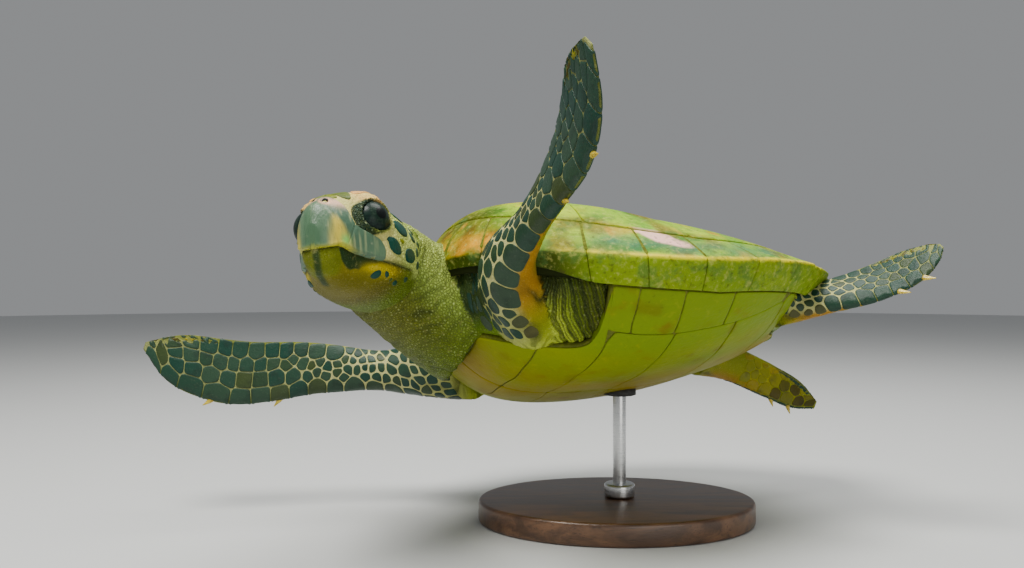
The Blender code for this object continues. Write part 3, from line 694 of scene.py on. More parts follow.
belly_ink = Ink("belly_horn", 0.42, Specular_IOR_Level=0.12)
seen = belly_ink.attribute("paint", "Color")
stain = belly_ink.noise(34, 5, 0.6)
fleck = belly_ink.noise(200, 4, 0.6)
grain = belly_ink.noise(1, 3, 0.5, belly_ink.stretch((60, 420, 420)))
seen = belly_ink.blend(seen, (0.20, 0.10, 0.008), stain.step(0.55, 0.74) * 0.5)
seen = belly_ink.blend(seen, (0.05, 0.035, 0.008), fleck.step(0.62, 0.78) * 0.45)
seen = belly_ink.blend(seen, (0.34, 0.34, 0.02), fleck.step(0.44, 0.30) * 0.22)
belly_ink.set("Base Color", seen)
belly_ink.set("Roughness", stain * 0.3 + 0.42)
belly_ink.bump((fleck, 0.0005), (grain, 0.0003), (stain, 0.0010))
belly_plates = belly_cover.build("belly_plates", belly_ground, belly_ink)
p = points_of(belly_plates)
shade = mix(tint(110, 124, 8), tint(128, 136, 14), 0.5 + 0.5 * mottle(p, 0.035, 41))
low = ramp(0.085, 0.02, np.abs(p[:, 1]))
shade = mix(shade, tint(132, 114, 2), low * (0.60 + 0.3 * mottle(p, 0.03, 42)))
bridge = ramp(0.088, 0.115, np.abs(p[:, 1]))
shade = mix(shade, tint(112, 130, 16), bridge * 0.8)
shade = mix(shade, tint(92, 70, 14), ramp(0.35, 0.85, mottle(p, 0.013, 43)) * 0.35)
put(belly_plates, "paint", shade)
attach(belly_plates, "root")

# ------------------------------------------------------------------ skin
# One hide covers head, jaw, neck, trunk, tail, arms, legs and flippers.  Its tubes are joined
# into one closed skin, eased where they meet, then folded, wrinkled and painted.  It lies under
# the horn plates and scales, and inside the shell.
COAT = 0.0007
THIN = 0.0004
# Each limb has a spine, the way that its leading edge faces, and its breadths before and behind
# the spine.  The last of each thick entry says how far the limb is a blade, thickest in front.
LIMBS = {
    "front_left": dict(
        spine=[(0.0, 0.106, 0.074, -0.012), (0.2, 0.136, 0.115, 0.012),
               (0.4, 0.134, 0.161, 0.028), (0.6, 0.129, 0.209, 0.043),
               (0.8, 0.130, 0.258, 0.057), (1.0, 0.140, 0.306, 0.082)],
        lead_axis=[(0.0, -0.1, 0.45, -0.90), (0.35, 0.10, 0.32, -0.94), (0.6, 0.08, 0.27, -0.96),
                   (0.8, -0.05, 0.40, -0.90), (1.0, -0.15, 0.55, -0.82)],
        lead=[(0.0, 0.040), (0.15, 0.034), (0.3, 0.023), (0.45, 0.020), (0.6, 0.024),
              (0.78, 0.028), (0.92, 0.021), (1.0, 0.006)],
        trail=[(0.0, 0.040), (0.15, 0.032), (0.3, 0.022), (0.45, 0.020), (0.6, 0.027),
               (0.78, 0.034), (0.92, 0.025), (1.0, 0.005)],
        thick=[(0.0, 0.034, 0.0), (0.15, 0.028, 0.1), (0.3, 0.018, 0.3), (0.45, 0.012, 0.7),
               (0.7, 0.0070, 1.0), (0.9, 0.0040, 1.0), (1.0, 0.0015, 1.0)]),
    "front_right": dict(
        spine=[(0.0, 0.112, -0.078, -0.022), (0.25, 0.182, -0.110, -0.014),
               (0.5, 0.255, -0.126, -0.005), (0.75, 0.330, -0.136, -0.002),
               (1.0, 0.408, -0.140, 0.026)],
        lead_axis=[(0.0, 0.1, -0.3, -1.0), (0.4, 0.0, -0.25, -1.0), (1.0, 0.3, -0.2, -1.0)],
        lead=[(0.0, 0.034), (0.15, 0.030), (0.3, 0.022), (0.45, 0.025), (0.65, 0.030),
              (0.8, 0.032), (0.93, 0.022), (1.0, 0.004)],
        trail=[(0.0, 0.034), (0.15, 0.026), (0.3, 0.017), (0.45, 0.021), (0.65, 0.027),
               (0.8, 0.027), (0.93, 0.018), (1.0, 0.004)],
        thick=[(0.0, 0.030, 0.0), (0.15, 0.026, 0.1), (0.3, 0.017, 0.4), (0.45, 0.011, 0.8),
               (0.7, 0.0070, 1.0), (0.9, 0.0040, 1.0), (1.0, 0.0015, 1.0)]),
    "hind_left": dict(
        spine=[(0.0, -0.104, 0.074, -0.016), (0.3, -0.144, 0.100, -0.015),
               (0.6, -0.180, 0.128, -0.009), (1.0, -0.223, 0.162, 0.008)],
        lead_axis=[(0.0, 0.5, 0.6, -0.6), (0.5, 0.45, 0.45, -0.8), (1.0, 0.45, 0.35, -0.8)],
        lead=[(0.0, 0.026), (0.3, 0.023), (0.6, 0.027), (0.85, 0.023), (0.95, 0.013),
              (1.0, 0.004)],
        trail=[(0.0, 0.026), (0.3, 0.020), (0.6, 0.020), (0.85, 0.016), (0.95, 0.009),
               (1.0, 0.003)],
        thick=[(0.0, 0.020, 0.0), (0.3, 0.012, 0.4), (0.6, 0.0060, 1.0), (1.0, 0.0018, 1.0)]),
    "hind_right": dict(
        spine=[(0.0, -0.106, -0.060, -0.024), (0.3, -0.155, -0.071, -0.037),
               (0.6, -0.200, -0.077, -0.058), (1.0, -0.256, -0.082, -0.086)],
        lead_axis=[(0.0, 0.4, -0.6, -0.6), (0.5, 0.5, -0.3, -0.9), (1.0, 0.5, -0.3, -0.9)],
        lead=[(0.0, 0.026), (0.3, 0.019), (0.6, 0.017), (0.85, 0.014), (1.0, 0.005)],
        trail=[(0.0, 0.026), (0.3, 0.019), (0.6, 0.019), (0.85, 0.015), (1.0, 0.005)],
        thick=[(0.0, 0.020, 0.0), (0.3, 0.012, 0.4), (0.6, 0.0060, 1.0), (1.0, 0.0018, 1.0)]),
}


def smooth_curve(stops, t):
    """Value at t of a curve that passes smoothly through (t, value...) stops."""
    table = np.asarray(stops, float)
    t = np.clip(np.asarray(t, float), table[0, 0], table[-1, 0])
    columns = []
    for k in range(1, table.shape[1]):
        x, y = table[:, 0], table[:, k]
        slope = np.gradient(y, x)
        i = np.clip(np.searchsorted(x, t, side="right") - 1, 0, len(x) - 2)
        h = x[i + 1] - x[i]
        u = (t - x[i]) / h
        columns.append((2 * u**3 - 3 * u**2 + 1) * y[i] + (u**3 - 2 * u**2 + u) * h * slope[i]
                       + (3 * u**2 - 2 * u**3) * y[i + 1] + (u**3 - u**2) * h * slope[i + 1])
    return np.stack(columns, -1)


def limb_rings(limb, t, angles, inset=0.0, ripple=0.0):
    """Rings of a limb at places t along it, lying inset below its full outline."""
    centre = smooth_curve(limb["spine"], t)
    along = unit(smooth_curve(limb["spine"], np.clip(t + 0.02, 0, 1))
                 - smooth_curve(limb["spine"], np.clip(t - 0.02, 0, 1)))
    ahead = smooth_curve(limb["lead_axis"], t)
    ahead = unit(ahead - (ahead * along).sum(-1, keepdims=True) * along)
    up = np.cross(along, ahead)
    c, s = np.cos(angles), np.sin(angles)
    front, back = smooth_curve(limb["lead"], t)[:, 0], smooth_curve(limb["trail"], t)[:, 0]
    depth = smooth_curve(limb["thick"], t)
    flat = depth[:, 1:]
    wedge = 1 - flat + flat * (0.16 + 0.84 * ((1 + c) / 2) ** 0.8)
    chord = np.where(c > 0, front[:, None], back[:, None] * (1 + ripple)) - inset
    high = np.maximum(depth[:, :1] * wedge - inset, THIN / np.maximum(np.abs(s), 0.5))
    return (centre[:, None] + (np.maximum(chord, 0.001) * c)[..., None] * ahead[:, None]
            + (high * s)[..., None] * up[:, None])


# An egg-shaped head tapers to the narrow hooked bill of the species, on a thick neck.  It has
# a frame of its own between the eyes: a section is its place, half breadth, top, bottom and
# the height at which it is widest.
HEAD_TURN = (-2.7, 8.5, 58.5)
HEAD_PLACE = (0.2578, 0.1126, 0.0498)
HEAD_SECTIONS = [
    (-0.060, 0.0390, 0.0125, -0.0620, -0.020), (-0.044, 0.0400, 0.0175, -0.0605, -0.022),
    (-0.024, 0.0390, 0.0205, -0.0580, -0.024), (-0.006, 0.0345, 0.0205, -0.0550, -0.025),
    (0.008, 0.0265, 0.0182, -0.0530, -0.022), (0.020, 0.0200, 0.0145, -0.0500, -0.018),
    (0.032, 0.0160, 0.0092, -0.0445, -0.018), (0.040, 0.0118, 0.0025, -0.0390, -0.018),
    (0.0440, 0.0050, -0.0085, -0.0310, -0.018)]
HEAD_BACK, HEAD_TIP = HEAD_SECTIONS[0][0], HEAD_SECTIONS[-1][0]
MOUTH_LINE = [(-0.060, -0.0400), (-0.040, -0.0365), (-0.026, -0.0352), (-0.012, -0.0338),
              (0.006, -0.0312), (0.022, -0.0272), (0.033, -0.0243), (0.041, -0.0256),
              (0.070, -0.0260)]
MOUTH_CORNER = -0.036
NECK_ROOT = (0.095, -0.004, -0.012)
NECK_SECTIONS = [(0.0, 0.060, 0.038, -0.058), (0.35, 0.056, 0.034, -0.060),
                 (0.7, 0.045, 0.020, -0.060), (1.0, 0.0388, 0.0123, -0.0618)]
BROW_X = -0.002
# back edge of the bill's horn, as height and place along the head
BEAK_BACK = [(0.040, 0.0245), (0.012, 0.0240), (0.004, 0.0205), (-0.004, 0.0195),
             (-0.0095, 0.0165), (-0.0135, 0.0090), (-0.0165, 0.0030), (-0.0215, -0.0010),
             (-0.0340, -0.0012)]
EYE_RADIUS = 0.0145
LID_CLEARANCE = 0.0011
EYE_OPENING = (0.0126, 0.0114)
EYE_PLACE = np.array([-0.004, 0.0213, -0.002])
EYE_AXIS = unit([0.45, 0.86, 0.20])
EYE_AHEAD = unit(np.array([1, 0, 0]) - EYE_AXIS[0] * EYE_AXIS)
EYE_UP = np.cross(EYE_AXIS, EYE_AHEAD)
EYE_UP = EYE_UP * np.sign(EYE_UP[2])
HEAD_AXES, HEAD_PLACE = seat(HEAD_PLACE, HEAD_TURN)


def head_to_body(points):
    return np.asarray(points) @ HEAD_AXES.T + HEAD_PLACE


def body_to_head(points):
    return (np.asarray(points) - HEAD_PLACE) @ HEAD_AXES


def oval(centre, side, up, half, top, bottom, widest, share, square=0.0):
    """A ring of an egg-shaped section at shares of its own girth, starting from its top."""
    a = np.linspace(0, 2 * math.pi, 1441)
    c, s = np.cos(a), np.sin(a)
    tall = np.where(c > 0, top - widest, widest - bottom)
    power = 0.9 - 0.4 * square * (c > 0)
    y = half * np.sign(s) * np.abs(s) ** power * (1 - 0.16 * (1 - square) * np.clip(c, 0, 1) ** 1.5)
    z = widest + tall * np.sign(c) * np.abs(c) ** power
    girth = np.append(0, np.cumsum(np.hypot(np.diff(y), np.diff(z))))
    y, z = (np.interp(share * girth[-1], girth, v) for v in (y, z))
    return centre + np.outer(y, side) + np.outer(z, up)


def head_ring(x, share):
    half, top, bottom, widest = smooth_curve(HEAD_SECTIONS, x)
    brow = math.exp(-((x - BROW_X) / 0.016) ** 2)
    middle = np.array([x, 0, 0])
    return oval(middle, (0, 1, 0), (0, 0, 1), half, top, bottom, widest, share, brow)


def neck_ring(t, share):
    joint = HEAD_PLACE + HEAD_AXES[:, 0] * HEAD_BACK
    root = np.array(NECK_ROOT)
    a, b = 0.115 * np.array([1.0, 0.10, 0.02]), 0.10 * HEAD_AXES[:, 0]
    middle = ((2*t**3 - 3*t**2 + 1) * root + (t**3 - 2*t**2 + t) * a
              + (3*t**2 - 2*t**3) * joint + (t**3 - t**2) * b)
    ahead = unit((6*t**2 - 6*t) * root + (3*t**2 - 4*t + 1) * a
                 + (6*t - 6*t**2) * joint + (3*t**2 - 2*t) * b)
    up = unit(np.array([0, 0, 1]) * (1 - t) + HEAD_AXES[:, 2] * t)
    side = unit(np.cross(up, ahead))
    half, top, bottom = smooth_curve(NECK_SECTIONS, t)
    return oval(middle, side, np.cross(ahead, side), half, top, bottom, -0.014 * t, share)


def eye_chart(p):
    """Place about the nearer eye: ahead, up and outward, in metres."""
    d = np.stack([p[..., 0], np.abs(p[..., 1]), p[..., 2]], -1) - EYE_PLACE
    return d @ EYE_AHEAD, d @ EYE_UP, d @ EYE_AXIS


def mouth_height(x):
    return smooth_curve(MOUTH_LINE, x)[..., 0]


def sculpt_head(p):
    """Brow and mouth, on points of the head in its own frame."""
    p = p.copy()
    centre = np.array([0.0, 0.0, -0.019])
    out = unit((p - centre) * np.array([0.35, 1.0, 1.0]))
    ahead, up, away = eye_chart(p)
    beyond = away > 0
    # a raised brow over the eye and a shallow groove behind it
    brow = np.exp(-((ahead - 0.001) / 0.013) ** 2 - ((up - 0.0145) / 0.0040) ** 2) * beyond
    p += out * (0.0016 * brow)[..., None]
    # the mouth: a crease, a bill edge that overhangs it, and a jaw set back below it
    drop = p[..., 2] - mouth_height(p[..., 0])
    closed = ramp(MOUTH_CORNER - 0.004, MOUTH_CORNER + 0.010, p[..., 0])
    crease = np.exp(-(drop / 0.0011) ** 2) * closed
    below = np.where(drop < 0, np.exp(drop / 0.010), 0) * closed
    p -= out * (0.0012 * crease + 0.0018 * below)[..., None]
    return p


def sculpt_lids(p):
    """Drape the lids over the eyeball and open them, on points of the head."""
    ahead, up, away = eye_chart(p)
    sign = np.where(p[..., 1] < 0, -1, 1)
    reach = np.hypot(ahead, up)
    near = (away > -0.004) & (reach < 0.026)
    skirt = EYE_RADIUS + LID_CLEARANCE
    ball = np.sqrt(np.maximum(skirt**2 - reach**2, 0))
    # the ball pushes the lids out where it stands above the head
    lift = np.log(np.exp((ball - away) / 0.0012) + 1) * 0.0012 * (reach < skirt)
    lift = np.where(near, np.minimum(lift, 0.012), 0)
    # the opening, an almond that is set back in the dark lids
    gape = np.hypot(ahead / EYE_OPENING[0], up / EYE_OPENING[1])
    open_eye = 1 - ramp(0.93, 1.03, gape)
    edge = np.exp(-((gape - 1.10) / 0.07) ** 2) * 0.0005
    fold = np.exp(-((gape - 1.55) / 0.09) ** 2) * 0.0009 + np.exp(-((gape - 1.32) / 0.05) ** 2) * 0.0004
    shift = lift + np.where(near, edge - fold, 0)
    shift = np.where(near & (gape < 1.03), shift - open_eye * 0.0042, shift)
    axis = EYE_AXIS * np.stack([np.ones_like(sign), sign, np.ones_like(sign)], -1)
    return p + axis * shift[..., None]


def shrink(rings, depth):
    """Draw rings in by a depth."""
    middle = rings.mean(1, keepdims=True)
    girth = np.linalg.norm(rings - middle, axis=-1, keepdims=True).mean(1, keepdims=True)
    return middle + (rings - middle) * (1 - depth / girth)


def head_places(count):
    spread = np.linspace(0, 1, count)
    spread = 0.75 * np.sin(spread * math.pi / 2) + 0.25 * spread
    return HEAD_BACK + (HEAD_TIP - HEAD_BACK) * spread


def head_grid(count, share, depth):
    """The head's sculpted surface, in its own frame, lying depth below the full outline."""
    rings = np.array([head_ring(x, share) for x in head_places(count)])
    rings = sculpt_lids(sculpt_head(shrink(rings, depth)))
    # the bed of the horn bill lies deeper
    x, z = rings[..., 0], rings[..., 2]
    behind = smooth_curve([(-z, x) for z, x in BEAK_BACK], -z)[..., 0]
    bed = ramp(0.0006, 0.0026, x - behind) * ramp(0.0002, 0.0016, z - mouth_height(x))
    inward = unit(rings - (0.005, 0, -0.019))
    return rings - inward * (0.0011 * bed)[..., None]


HEAD_RINGS, NECK_RINGS, HEAD_SIDES = 124, 72, 184
head_share = np.arange(HEAD_SIDES) / HEAD_SIDES
head_rings = head_to_body(head_grid(HEAD_RINGS, head_share, THIN))
neck_rings = np.array([neck_ring(t, head_share) for t in np.linspace(0, 0.992, NECK_RINGS)])
head_and_neck = np.concatenate([shrink(neck_rings, THIN), head_rings])


def trunk_rings():
    """The trunk inside the shell, with hollows where the neck and limbs come out."""
    thetas = np.arange(560) * 2 * math.pi / 560
    inner = lip_radius(thetas) - 0.035 - 0.010
    rows = [dome_point(thetas, inner * k) - (0, 0, SHELL_WALL + 0.003) for k in (0.02, 0.4, 0.8, 1)]
    plate = plastron_radius(thetas)
    outer = lip_radius(thetas) - 0.0185
    hollow = ramp(0.0, 0.03, outer - plate)
    for k in np.linspace(0, 1, 42):
        r = outer * (1 - k) + np.minimum(plate - 0.002, outer - 0.004) * k
        bare = hollow * (1 - ramp(0.95, 1.0, k))
        lift = PLASTRON_WALL + 0.002 - (PLASTRON_WALL - 0.0012) * bare
        rows.append(belly_point(thetas, r) + np.stack([0 * lift, 0 * lift, lift], -1))
    for k in (0.9, 0.72, 0.4, 0.02):
        rows.append(belly_point(thetas, plate * k) + (0, 0, PLASTRON_WALL + 0.002))
    return np.array(rows)


LIMB_STEPS = {"front_left": (140, 84), "front_right": (130, 72),
              "hind_left": (84, 52), "hind_right": (84, 52)}


def limb_tube(name):
    """Rings of a limb for the skin, run on inside the trunk so that it joins well."""
    limb = LIMBS[name]
    steps, sides = LIMB_STEPS[name]
    t = np.linspace(0.0, 1.0, steps)
    angles = np.arange(sides) * 2 * math.pi / sides
    rings = limb_rings(limb, t, angles, COAT)
    first = rings[0].mean(0)
    inward = unit(rings[0].mean(0) - rings[3].mean(0))
    roots = [first + (rings[0] - first) * scale + inward * reach
             for reach, scale in ((0.030, 0.45), (0.024, 0.68), (0.016, 0.86), (0.008, 0.96))]
    tip = rings[-1].mean(0)
    ends = [tip + (rings[-1] - tip) * scale for scale in (0.7, 0.35)]
    return np.concatenate([np.array(roots), rings, np.array(ends)])


def tail_rings(steps=24, sides=28):
    """A short tail under the rear of the shell, with a blunt tip."""
    a = np.arange(sides) * 2 * math.pi / sides
    t = np.linspace(0, 1, steps)[:, None, None]
    root, tip = np.array((-0.110, 0.0, -0.030)), np.array((-0.163, 0.0, -0.026))
    radius = 0.0125 * (1 - 0.8 * t ** 1.5)
    ring = np.stack([0 * a, np.sin(a), 0.85 * np.cos(a)], -1)
    return root * (1 - t) + tip * t + radius * ring


def join_into(base, other):
    """Union of two closed bodies into the first."""
    union = base.modifiers.new("join", "BOOLEAN")
    union.operation, union.object, union.solver = "UNION", other, "MANIFOLD"
    bpy.context.view_layer.objects.active = base
    bpy.ops.object.modifier_apply(modifier="join")
    bpy.data.objects.remove(other)


def lookup(points, targets):
    """Index of the nearest point for each target, and how far it is."""
    tree = kdtree.KDTree(len(points))
    for i, p in enumerate(points):
        tree.insert(p, i)
    tree.balance()
    found = [tree.find(p)[1:] for p in targets]
    return np.array([f[0] for f in found]), np.array([f[1] for f in found])


def normals_of(made):
    flat = np.empty(len(made.data.vertices) * 3)
    made.data.vertex_normals.foreach_get("vector", flat)
    return flat.reshape(-1, 3) @ BODY_AXES


def set_points(made, points):
    made.data.vertices.foreach_set("co", to_world(points).ravel())
    made.data.update()


trunk_points, trunk_faces = tube(trunk_rings())
skin = face_out(mesh_object("skin", trunk_points, trunk_faces))
sources = [("trunk", trunk_points, None)]
flesh = [("head_and_neck", head_and_neck), ("tail", tail_rings())]
flesh += [(name, limb_tube(name)) for name in LIMBS]
for name, rings in flesh:
    part_points, part_faces = tube(rings)
    sources.append((name, part_points, rings.shape[:2]))
    join_into(skin, face_out(mesh_object(name, part_points, part_faces)))

# which tube each point of the skin comes from, and how far along it
points = points_of(skin)
all_points = np.concatenate([p for _, p, _ in sources])
owner = np.concatenate([np.full(len(p), i) for i, (_, p, _) in enumerate(sources)])
along = np.concatenate([np.zeros(len(p)) if shape is None else
                        np.append(np.repeat(np.linspace(0, 1, shape[0]), shape[1]), (0, 1))
                        for _, p, shape in sources])
nearest, gap = lookup(all_points, points)
part, way = owner[nearest], along[nearest]
seam = gap > 2e-6

# ease the joints: points near a seam are averaged with their neighbours
reach = lookup(points[seam], points)[1] if seam.any() else np.full(len(points), 1.0)
flat_edges = np.empty(len(skin.data.edges) * 2, np.int64)
skin.data.edges.foreach_get("vertices", flat_edges)
edges = flat_edges.reshape(-1, 2)
soft = 1 - ramp(0.002, 0.013, reach)
edges = edges[(soft[edges] > 0).any(1)]
ends = np.concatenate([edges, edges[:, ::-1]])
links = np.maximum(np.bincount(ends[:, 0], minlength=len(points)), 1)
for _ in range(26):
    total = np.stack([np.bincount(ends[:, 0], points[ends[:, 1], k], len(points))
                      for k in range(3)], -1) / links[:, None]
    points = points + (total - points) * (0.6 * soft)[:, None]
set_points(skin, points)
is_part = {name: part == i for i, (name, _, _) in enumerate(sources)}
# folds of loose skin: round the shoulders and thighs, and across the neck
normals = normals_of(skin)
height = np.zeros(len(points))
groove_shade = np.zeros(len(points))


def ring_folds(root, axis, inner, outer, side):
    """Concentric folds about a limb's root, finer near it: where they are and how deep."""
    d = points - root
    depth = d @ axis
    off = d - depth[:, None] * axis
    radius = np.linalg.norm(off, axis=-1) + 0.15 * np.abs(depth)
    radius = radius + 0.0018 * mottle(points, 0.020, 3) + 0.0007 * mottle(points, 0.006, 5)
    phase = 15.0 * np.log(0.0030 + 0.08 * np.maximum(radius, 0))
    wave = np.abs(np.sin(phase * math.pi))
    fade = ramp(inner, inner + 0.008, radius) * (1 - ramp(outer - 0.015, outer, radius))
    fade = fade * ramp(-0.35, 0.35, unit(off) @ side)
    strong = fade * np.clip(0.95 + 0.35 * mottle(points, 0.02, 8), 0.4, 1.2)
    return fade, strong * (1 - wave ** 0.75), radius, phase


ridge, crest, crease_course, crease_depth = np.zeros((4, len(points)))
for name, toward, start, stop in (("front_left", (-0.85, 0.1, -0.5), 0.020, 0.088),
                                  ("front_right", (-0.85, -0.1, -0.5), 0.020, 0.080),
                                  ("hind_left", (0.4, 0.0, -0.9), 0.016, 0.045),
                                  ("hind_right", (0.4, 0.0, -0.9), 0.016, 0.045)):
    spine = LIMBS[name]["spine"]
    root = np.array(spine[0][1:])
    axis = unit(np.array(spine[1][1:]) - root)
    fade, fold, radius, phase = ring_folds(root, axis, start, stop, unit(toward))
    mine = np.where(is_part[name], 1 - ramp(0.16, 0.30, way), is_part["trunk"])
    depth = np.interp(radius, [0.02, 0.05, 0.08], [0.0011, 0.0022, 0.0028])
    height -= fold * mine * depth
    groove_shade = np.maximum(groove_shade, fold ** 1.3 * mine)
    near = np.where(is_part[name], 1 - ramp(0.02, 0.10, way), is_part["trunk"])
    crease_course = np.where(fade * near > crease_depth, phase, crease_course)
    crease_depth = np.maximum(crease_depth, fade * near)
    ridge = np.maximum(ridge, fade * near * (1 - ramp(0.042, 0.056, radius)))
    crest = np.maximum(crest, fade * near * ramp(0.046, 0.060, radius) * name.startswith("front"))

in_neck = is_part["head_and_neck"]
head_points = body_to_head(points)
neck_way = np.where(in_neck, way * (NECK_RINGS + HEAD_RINGS) / NECK_RINGS, 9.0)
crinkle = neck_way * 17 + 1.1 * mottle(points, 0.030, 11) + 0.45 * mottle(points, 0.009, 12)
neck_fade = (1 - ramp(0.90, 1.06, neck_way)) * in_neck * (0.65 + 0.5 * mottle(points, 0.025, 13))
neck_fold = (1 - np.abs(np.sin(crinkle * math.pi)) ** 0.6) * np.clip(neck_fade, 0, 1)
height -= neck_fold * 0.0013
groove_shade = np.maximum(groove_shade, neck_fold * 0.8)
height += 0.0004 * mottle(points, 0.004, 14) * (neck_fade + 0.3)
points = points + normals * height[:, None]


def tuck_under_shell(points):
    """Keep the skin inside the back and the belly plates."""
    theta, r = plan_to_shell(points[:, 0], points[:, 1], TOP_X)
    roof = dome_point(theta, np.minimum(r, 1))[:, 2] - SHELL_WALL - 0.002
    inside = r < lip_radius(theta) - 0.045
    points[:, 2] = np.where(inside, np.minimum(points[:, 2], roof), points[:, 2])
    theta, r = plan_to_shell(points[:, 0], points[:, 1], BELLY_MID_X)
    floor = belly_point(theta, np.minimum(r, 1))[:, 2] + PLASTRON_WALL * 0.6
    covered = 1 - ramp(-0.012, 0.008, r - plastron_radius(theta))
    low = np.maximum(floor - points[:, 2], 0)
    points[:, 2] += low * covered
    return points


points = tuck_under_shell(points)
set_points(skin, points)

# the hide's colours, by place
PALE, MOSS = tint(168, 184, 104, 1.2), tint(104, 126, 34)
YELLOW, ORANGE = tint(146, 144, 20), tint(156, 116, 10)
OLIVE, FOLD_SHADE, THROAT = tint(104, 114, 12), tint(16, 30, 12), tint(96, 92, 0)


def limb_chart(name):
    """Place of the skin's points along a limb, above its blade and ahead of its spine."""
    limb = LIMBS[name]
    t = np.clip(way * (LIMB_STEPS[name][0] + 6) - 4, 0, LIMB_STEPS[name][0]) / LIMB_STEPS[name][0]
    centre = smooth_curve(limb["spine"], t)
    ahead = smooth_curve(limb["lead_axis"], t)
    tangent = unit(smooth_curve(limb["spine"], np.clip(t + .02, 0, 1))
                   - smooth_curve(limb["spine"], np.clip(t - .02, 0, 1)))
    ahead = unit(ahead - (ahead * tangent).sum(-1, keepdims=True) * tangent)
    up = np.cross(tangent, ahead) * (1 if name.endswith("right") else -1)
    return t, ((points - centre) * up).sum(-1), ((points - centre) * ahead).sum(-1)


paint = np.tile(MOSS, (len(points), 1))
paint = mix(paint, OLIVE, ramp(-0.01, -0.05, points[:, 2]) * 0.5)
for name in LIMBS:
    mine = is_part[name]
    t, above, front = limb_chart(name)
    breadth = smooth_curve(LIMBS[name]["thick"], t)[:, 0]
    upper = ramp(-0.15, 0.30, above / breadth)
    under = mix(YELLOW, OLIVE, 0.5 + 0.5 * mottle(points, 0.02, 15))
    under = mix(under, ORANGE, ramp(0.004, 0.02, front) * (1 - ramp(0.35, 0.8, t)) * 0.8)
    edging = ramp(0.55, 0.95, np.abs(front) / np.maximum(smooth_curve(LIMBS[name]["lead"], t)[:, 0], 1e-4))
    gaps = mix(tint(190, 188, 130, 1.1), tint(112, 120, 76, 1.1), ramp(0.30, 0.75, t) * 0.8)
    gaps = mix(gaps, tint(70, 78, 40), edging * ramp(0.35, 0.55, t) * 0.8)
    colour = mix(under, gaps, np.maximum(upper, edging * ramp(0.5, 0.7, t)))
    colour = mix(colour, mix(MOSS, YELLOW, 0.5), (1 - ramp(0.04, 0.22, t)) * (1 - 0.5 * upper))
    paint = np.where(mine[:, None], colour, paint)
paint = mix(paint, tint(70, 72, 18), crest * 0.75)
paint = mix(paint, tint(186, 198, 118), ridge * 0.85)

# neck: pale granular sides, paler where they face up as a painted highlight; olive and orange-brown below
down = ramp(0.3, -0.95, normals[:, 2] * 0.9 - 0.1)
neck_colour = mix(PALE, MOSS, down * 0.75)
neck_colour = mix(neck_colour, THROAT, ramp(0.55, 1.0, down) * 0.75)
neck_colour = mix(neck_colour, MOSS, ramp(0.65, 0.30, neck_way) * 0.6)
paint = np.where(in_neck[:, None], neck_colour, paint)

# head: cream between its scales, an olive chin panel between dark stripes, dark lids
hx, hy, hz = head_points.T
ay = np.abs(hy)
on_head = in_neck & (neck_way > 1.0)
head_colour = mix(tint(206, 200, 136, 1.2), tint(196, 210, 132, 1.25), ramp(0.0, -0.030, hx))
drop = hz - mouth_height(hx)
below = ramp(0.0006, -0.0010, drop) * ramp(-0.050, -0.036, hx)
below = np.maximum(below, ramp(-0.036, -0.044, hz))
jaw_colour = mix(tint(132, 124, 14), THROAT, ramp(-0.034, -0.048, hz + 0.002 * mottle(points, 0.008, 16)))
jaw_colour = mix(jaw_colour, MOSS, ramp(-0.012, -0.040, hx) * 0.7)
panel = ramp(0.026, 0.032, hx) * ramp(-0.046, -0.041, hz)
jaw_colour = mix(jaw_colour, tint(104, 110, 6), panel)
jagged = hz + 0.0012 * mottle(points, 0.004, 17)
flank_low = smooth_curve([(-0.004, -0.0330), (0.004, -0.0345), (0.010, -0.0365), (0.018, -0.0385),
                          (0.024, -0.0375), (0.030, -0.0330), (0.034, -0.0260)], hx)[:, 0]
flank = ramp(-0.0008, 0.0008, jagged - flank_low) * ramp(-0.004, 0.004, hx) * ramp(0.0345, 0.0325, hx)
flank = flank * ramp(0.0100, 0.0125, ay)
course = np.interp(hx, [0.020, 0.034, 0.042], [-0.0033, -0.0018, 0.0008])
stripe = np.exp(-((hy - course) / 0.0028) ** 4) * ramp(0.019, 0.025, hx)
jaw_colour = mix(jaw_colour, tint(16, 44, 26), np.clip(flank + stripe * 0.9, 0, 1) * 0.95)
pink = np.exp(-((hx - 0.004) / 0.010) ** 2 - ((hz + 0.0372) / 0.0030) ** 2) * ramp(0.015, 0.024, ay)
pink = pink + np.exp(-((hx + 0.012) / 0.009) ** 2 - ((hz + 0.0395) / 0.0040) ** 2)
jaw_colour = mix(jaw_colour, tint(200, 184, 96), np.clip(pink, 0, 1) * 0.8)
head_colour = mix(head_colour, jaw_colour, np.clip(below, 0, 1))
# painted shade along the crease of the closed mouth
crease = np.exp(-(drop / 0.0011) ** 2) * ramp(MOUTH_CORNER - 0.006, MOUTH_CORNER, hx)
head_colour = mix(head_colour, tint(20, 36, 16), crease * 0.95)
ahead, up, away = eye_chart(head_points)
lid = np.hypot((ahead - 0.0045) / 0.0180, (up + 0.0004) / 0.0138)
lids = (1 - ramp(0.90, 1.0, lid + 0.06 * mottle(points, 0.004, 18))) * (away > 0)
brow = np.exp(-((hx - 0.000) / 0.015) ** 2) * ramp(0.0080, 0.0115, hz) * ramp(0.010, 0.018, ay)
brow = np.clip(brow * (0.8 + 0.5 * mottle(points, 0.005, 19)), 0, 1)
head_colour = mix(head_colour, tint(216, 178, 132), brow)
head_colour = mix(head_colour, tint(22, 44, 34), lids)
gape = np.hypot(ahead / EYE_OPENING[0], up / EYE_OPENING[1])
rimmed = np.exp(-((gape - 1.09) / 0.06) ** 2) * (away > 0)
head_colour = mix(head_colour, tint(150, 160, 96), rimmed * ramp(0.004, -0.006, ahead + 0.8 * up) * 0.8)
